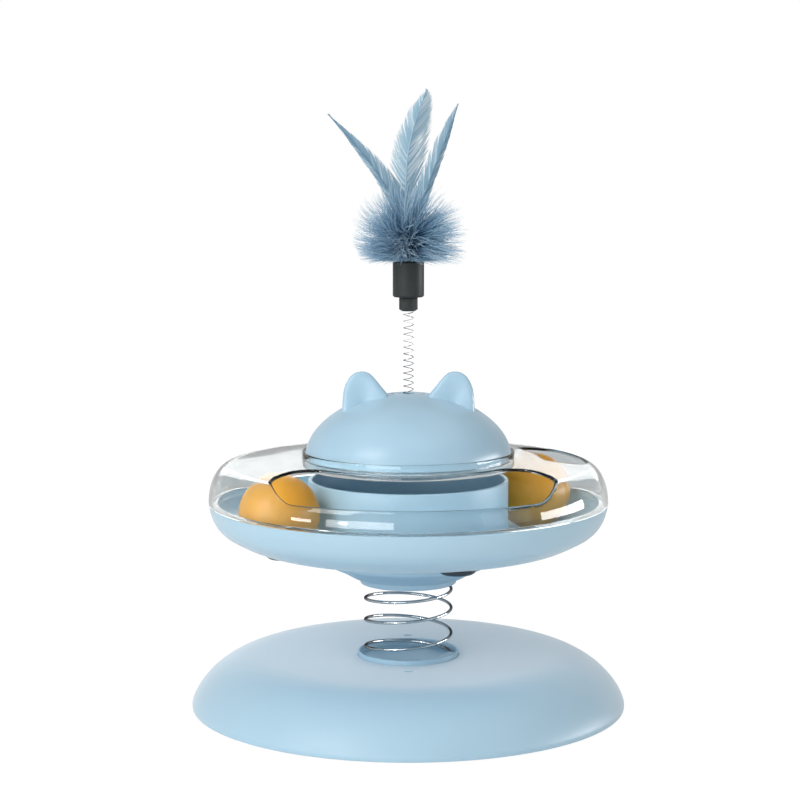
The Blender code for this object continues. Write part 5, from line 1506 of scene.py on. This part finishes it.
feathers = (
    ("feather_centre", 90, (8.6, 4.0, 83.4), (-6.2, 4.0, 46.0),
     {"Barbs": 210, "Start": 0.22, "Left width": 9.2 * MM, "Right width": 13.8 * MM,
      "Turn": 0.0, "Left fold": 0.1, "Right fold": 0.5, "Foot sweep": 0.8,
      "Tip sweep": 0.5, "Barb width": 0.27 * MM, "Bend": 1.6 * MM, "Group": 4.0,
      "Parting": 0.13, "Fullness": 3.0, "Seed": 3}, VANE, (0.8, 0.18, PALE_QUILL)),
    ("feather_left", 210, (-38.8, -3.0, 71.7), (-6.5, -3.0, 36.0),
     {"Barbs": 170, "Start": 0.2, "Left width": 5.0 * MM, "Right width": 7.4 * MM,
      "Turn": 0.3, "Left fold": 0.75, "Right fold": 0.2, "Foot sweep": 0.5,
      "Tip sweep": 0.3, "Barb width": 0.3 * MM, "Bend": 0.8 * MM, "Group": 7.0,
      "Parting": 0.1, "Fullness": 1.5, "Seed": 11}, NARROW_VANE, (0.7, 0.15, DARK_QUILL)),
    ("feather_right", 330, (24.0, -3.0, 76.6), (10.0, -3.0, 36.0),
     {"Barbs": 170, "Start": 0.2, "Left width": 7.0 * MM, "Right width": 4.2 * MM,
      "Turn": -0.3, "Left fold": 0.15, "Right fold": 0.75, "Foot sweep": 0.48,
      "Tip sweep": 0.28, "Barb width": 0.3 * MM, "Bend": 0.8 * MM, "Group": 7.0,
      "Parting": 0.1, "Fullness": 2.3, "Seed": 23}, NARROW_VANE, (0.7, 0.15, DARK_QUILL)),
)
for node, *facts in feathers:
    for piece in make_feather(node, *facts):
        put(piece, "head", "dyed_feather", node)

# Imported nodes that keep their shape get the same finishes
for node, mat in (("ballast_ring", ZINC), ("axle", ZINC), ("axle_washer", ZINC),
                  ("axle_screw", ZINC), ("thrust_washer", ACETAL), ("lower_bush", ACETAL),
                  ("upper_bush", ACETAL), ("drum_screw_1", ZINC), ("drum_screw_2", ZINC),
                  ("drum_screw_3", ZINC)):
    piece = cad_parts[node]
    for slot in piece.material_slots:
        slot.material = mat


# Floor, world, lamps and camera
def make_floor():
    """A pale studio floor that is white to the camera and keeps a faint shadow."""
    bm = bmesh.new()
    bmesh.ops.create_grid(bm, x_segments=1, y_segments=1, size=6)
    mesh = bpy.data.meshes.new("studio_floor")
    bm.to_mesh(mesh)
    bm.free()
    mat, tree = blank_material("studio_paper")
    path = add_node(tree, "ShaderNodeLightPath").outputs
    seen = math_node(tree, "MAXIMUM", path["Is Camera Ray"], path["Is Transmission Ray"])
    seen = math_node(tree, "MAXIMUM", seen, path["Is Glossy Ray"])
    paper = add_node(tree, "ShaderNodeBsdfDiffuse", {"Color": linear_colour("F4F4F4")})
    faint = add_node(tree, "ShaderNodeBsdfDiffuse", {"Color": grey(0.09)})
    level = math_node(tree, "MULTIPLY_ADD", path["Is Transmission Ray"], -0.16, 0.96)
    level = math_node(tree, "MULTIPLY_ADD", path["Is Glossy Ray"], -0.35, level)
    white = add_node(tree, "ShaderNodeEmission", {"Color": grey(1), "Strength": level})
    bright = add_node(tree, "ShaderNodeAddShader", {0: white, 1: faint})
    both = mix_shaders(tree, seen, paper, bright)
    add_node(tree, "ShaderNodeOutputMaterial", {"Surface": both})
    mesh.materials.append(mat)
    place_object("studio_floor", mesh)


def make_world():
    """Even studio light; white to the camera, with a darker ceiling for bright metal."""
    world = bpy.data.worlds.new("studio")
    bpy.context.scene.world = world
    world.use_nodes = True
    tree = world.node_tree
    tree.nodes.clear()
    path = add_node(tree, "ShaderNodeLightPath").outputs
    way = add_node(tree, "ShaderNodeTexCoord").outputs["Generated"]
    height = add_node(tree, "ShaderNodeSeparateXYZ", {"Vector": way}).outputs["Z"]
    band = colour_ramp(tree, height, grey(0.35), grey(0.5),
                       [(spot, grey(level)) for spot, level in
                        ((0.3, 0.35), (0.4, 0.03), (0.74, 0.03), (0.84, 0.9))])
    light = add_node(tree, "ShaderNodeBackground", {"Color": grey(1), "Strength": 0.6})
    for ray, colour, strength in (("Is Glossy Ray", band, 1.0),
                                  ("Is Transmission Ray", grey(1), 0.86),
                                  ("Is Camera Ray", grey(1), 1.0)):
        seen = add_node(tree, "ShaderNodeBackground", {"Color": colour, "Strength": strength})
        light = mix_shaders(tree, path[ray], light, seen)
    add_node(tree, "ShaderNodeOutputWorld", {"Surface": light})


def make_lamp(name, place, aim, size, power, card=False, mirrored=True):
    """A rectangular lamp; a card shows in shiny surfaces and lights nothing."""
    data = bpy.data.lights.new(name, "AREA")
    data.shape = "RECTANGLE"
    data.size, data.size_y = size
    data.energy = power
    lamp = place_object(name, data)
    lamp.location = place
    lamp.visible_diffuse = not card
    lamp.visible_glossy = mirrored
    lamp.visible_transmission = not card
    lamp.rotation_euler = (Vector(aim) - Vector(place)).to_track_quat("-Z", "Y").to_euler()


def make_camera():
    data = bpy.data.cameras.new("camera")
    data.sensor_width = 36.0
    data.sensor_fit = "HORIZONTAL"
    data.lens = 96.93
    data.clip_start = 0.01
    camera = place_object("camera", data)
    camera.location = (-4.15 * MM, -1061.3 * MM, 282.3 * MM)
    camera.rotation_euler = (math.radians(83.11), 0, 0)
    bpy.context.scene.camera = camera


make_floor()
make_world()
make_lamp("key", (-1.5, -1.4, 1.5), (0, 0, 0.12), (1.1, 1.1), 22)
make_lamp("fill", (1.8, -1.2, 0.6), (0, 0, 0.12), (1.2, 1.0), 2)
make_lamp("front", (-0.76, -1.5, 0.24), (0, 0, 0.1), (1.15, 0.34), 5.5)
make_lamp("right card", (1.75, 0.2, 0.215), (0, 0, 0.1), (1.2, 0.3), 16, True)
make_lamp("spot card", (-0.92, -1.29, 0.262), (0, 0, 0.1), (0.12, 0.1), 2.2, True)
make_lamp("left card", (-1.38, -0.77, 0.23), (0, 0, 0.1), (0.36, 0.12), 2.0, True)
make_lamp("back", (0.1, 2.0, 0.75), (0, 0, 0.05), (2.2, 0.9), 17, mirrored=False)
make_camera()
bpy.context.scene.view_settings.view_transform = "Standard"
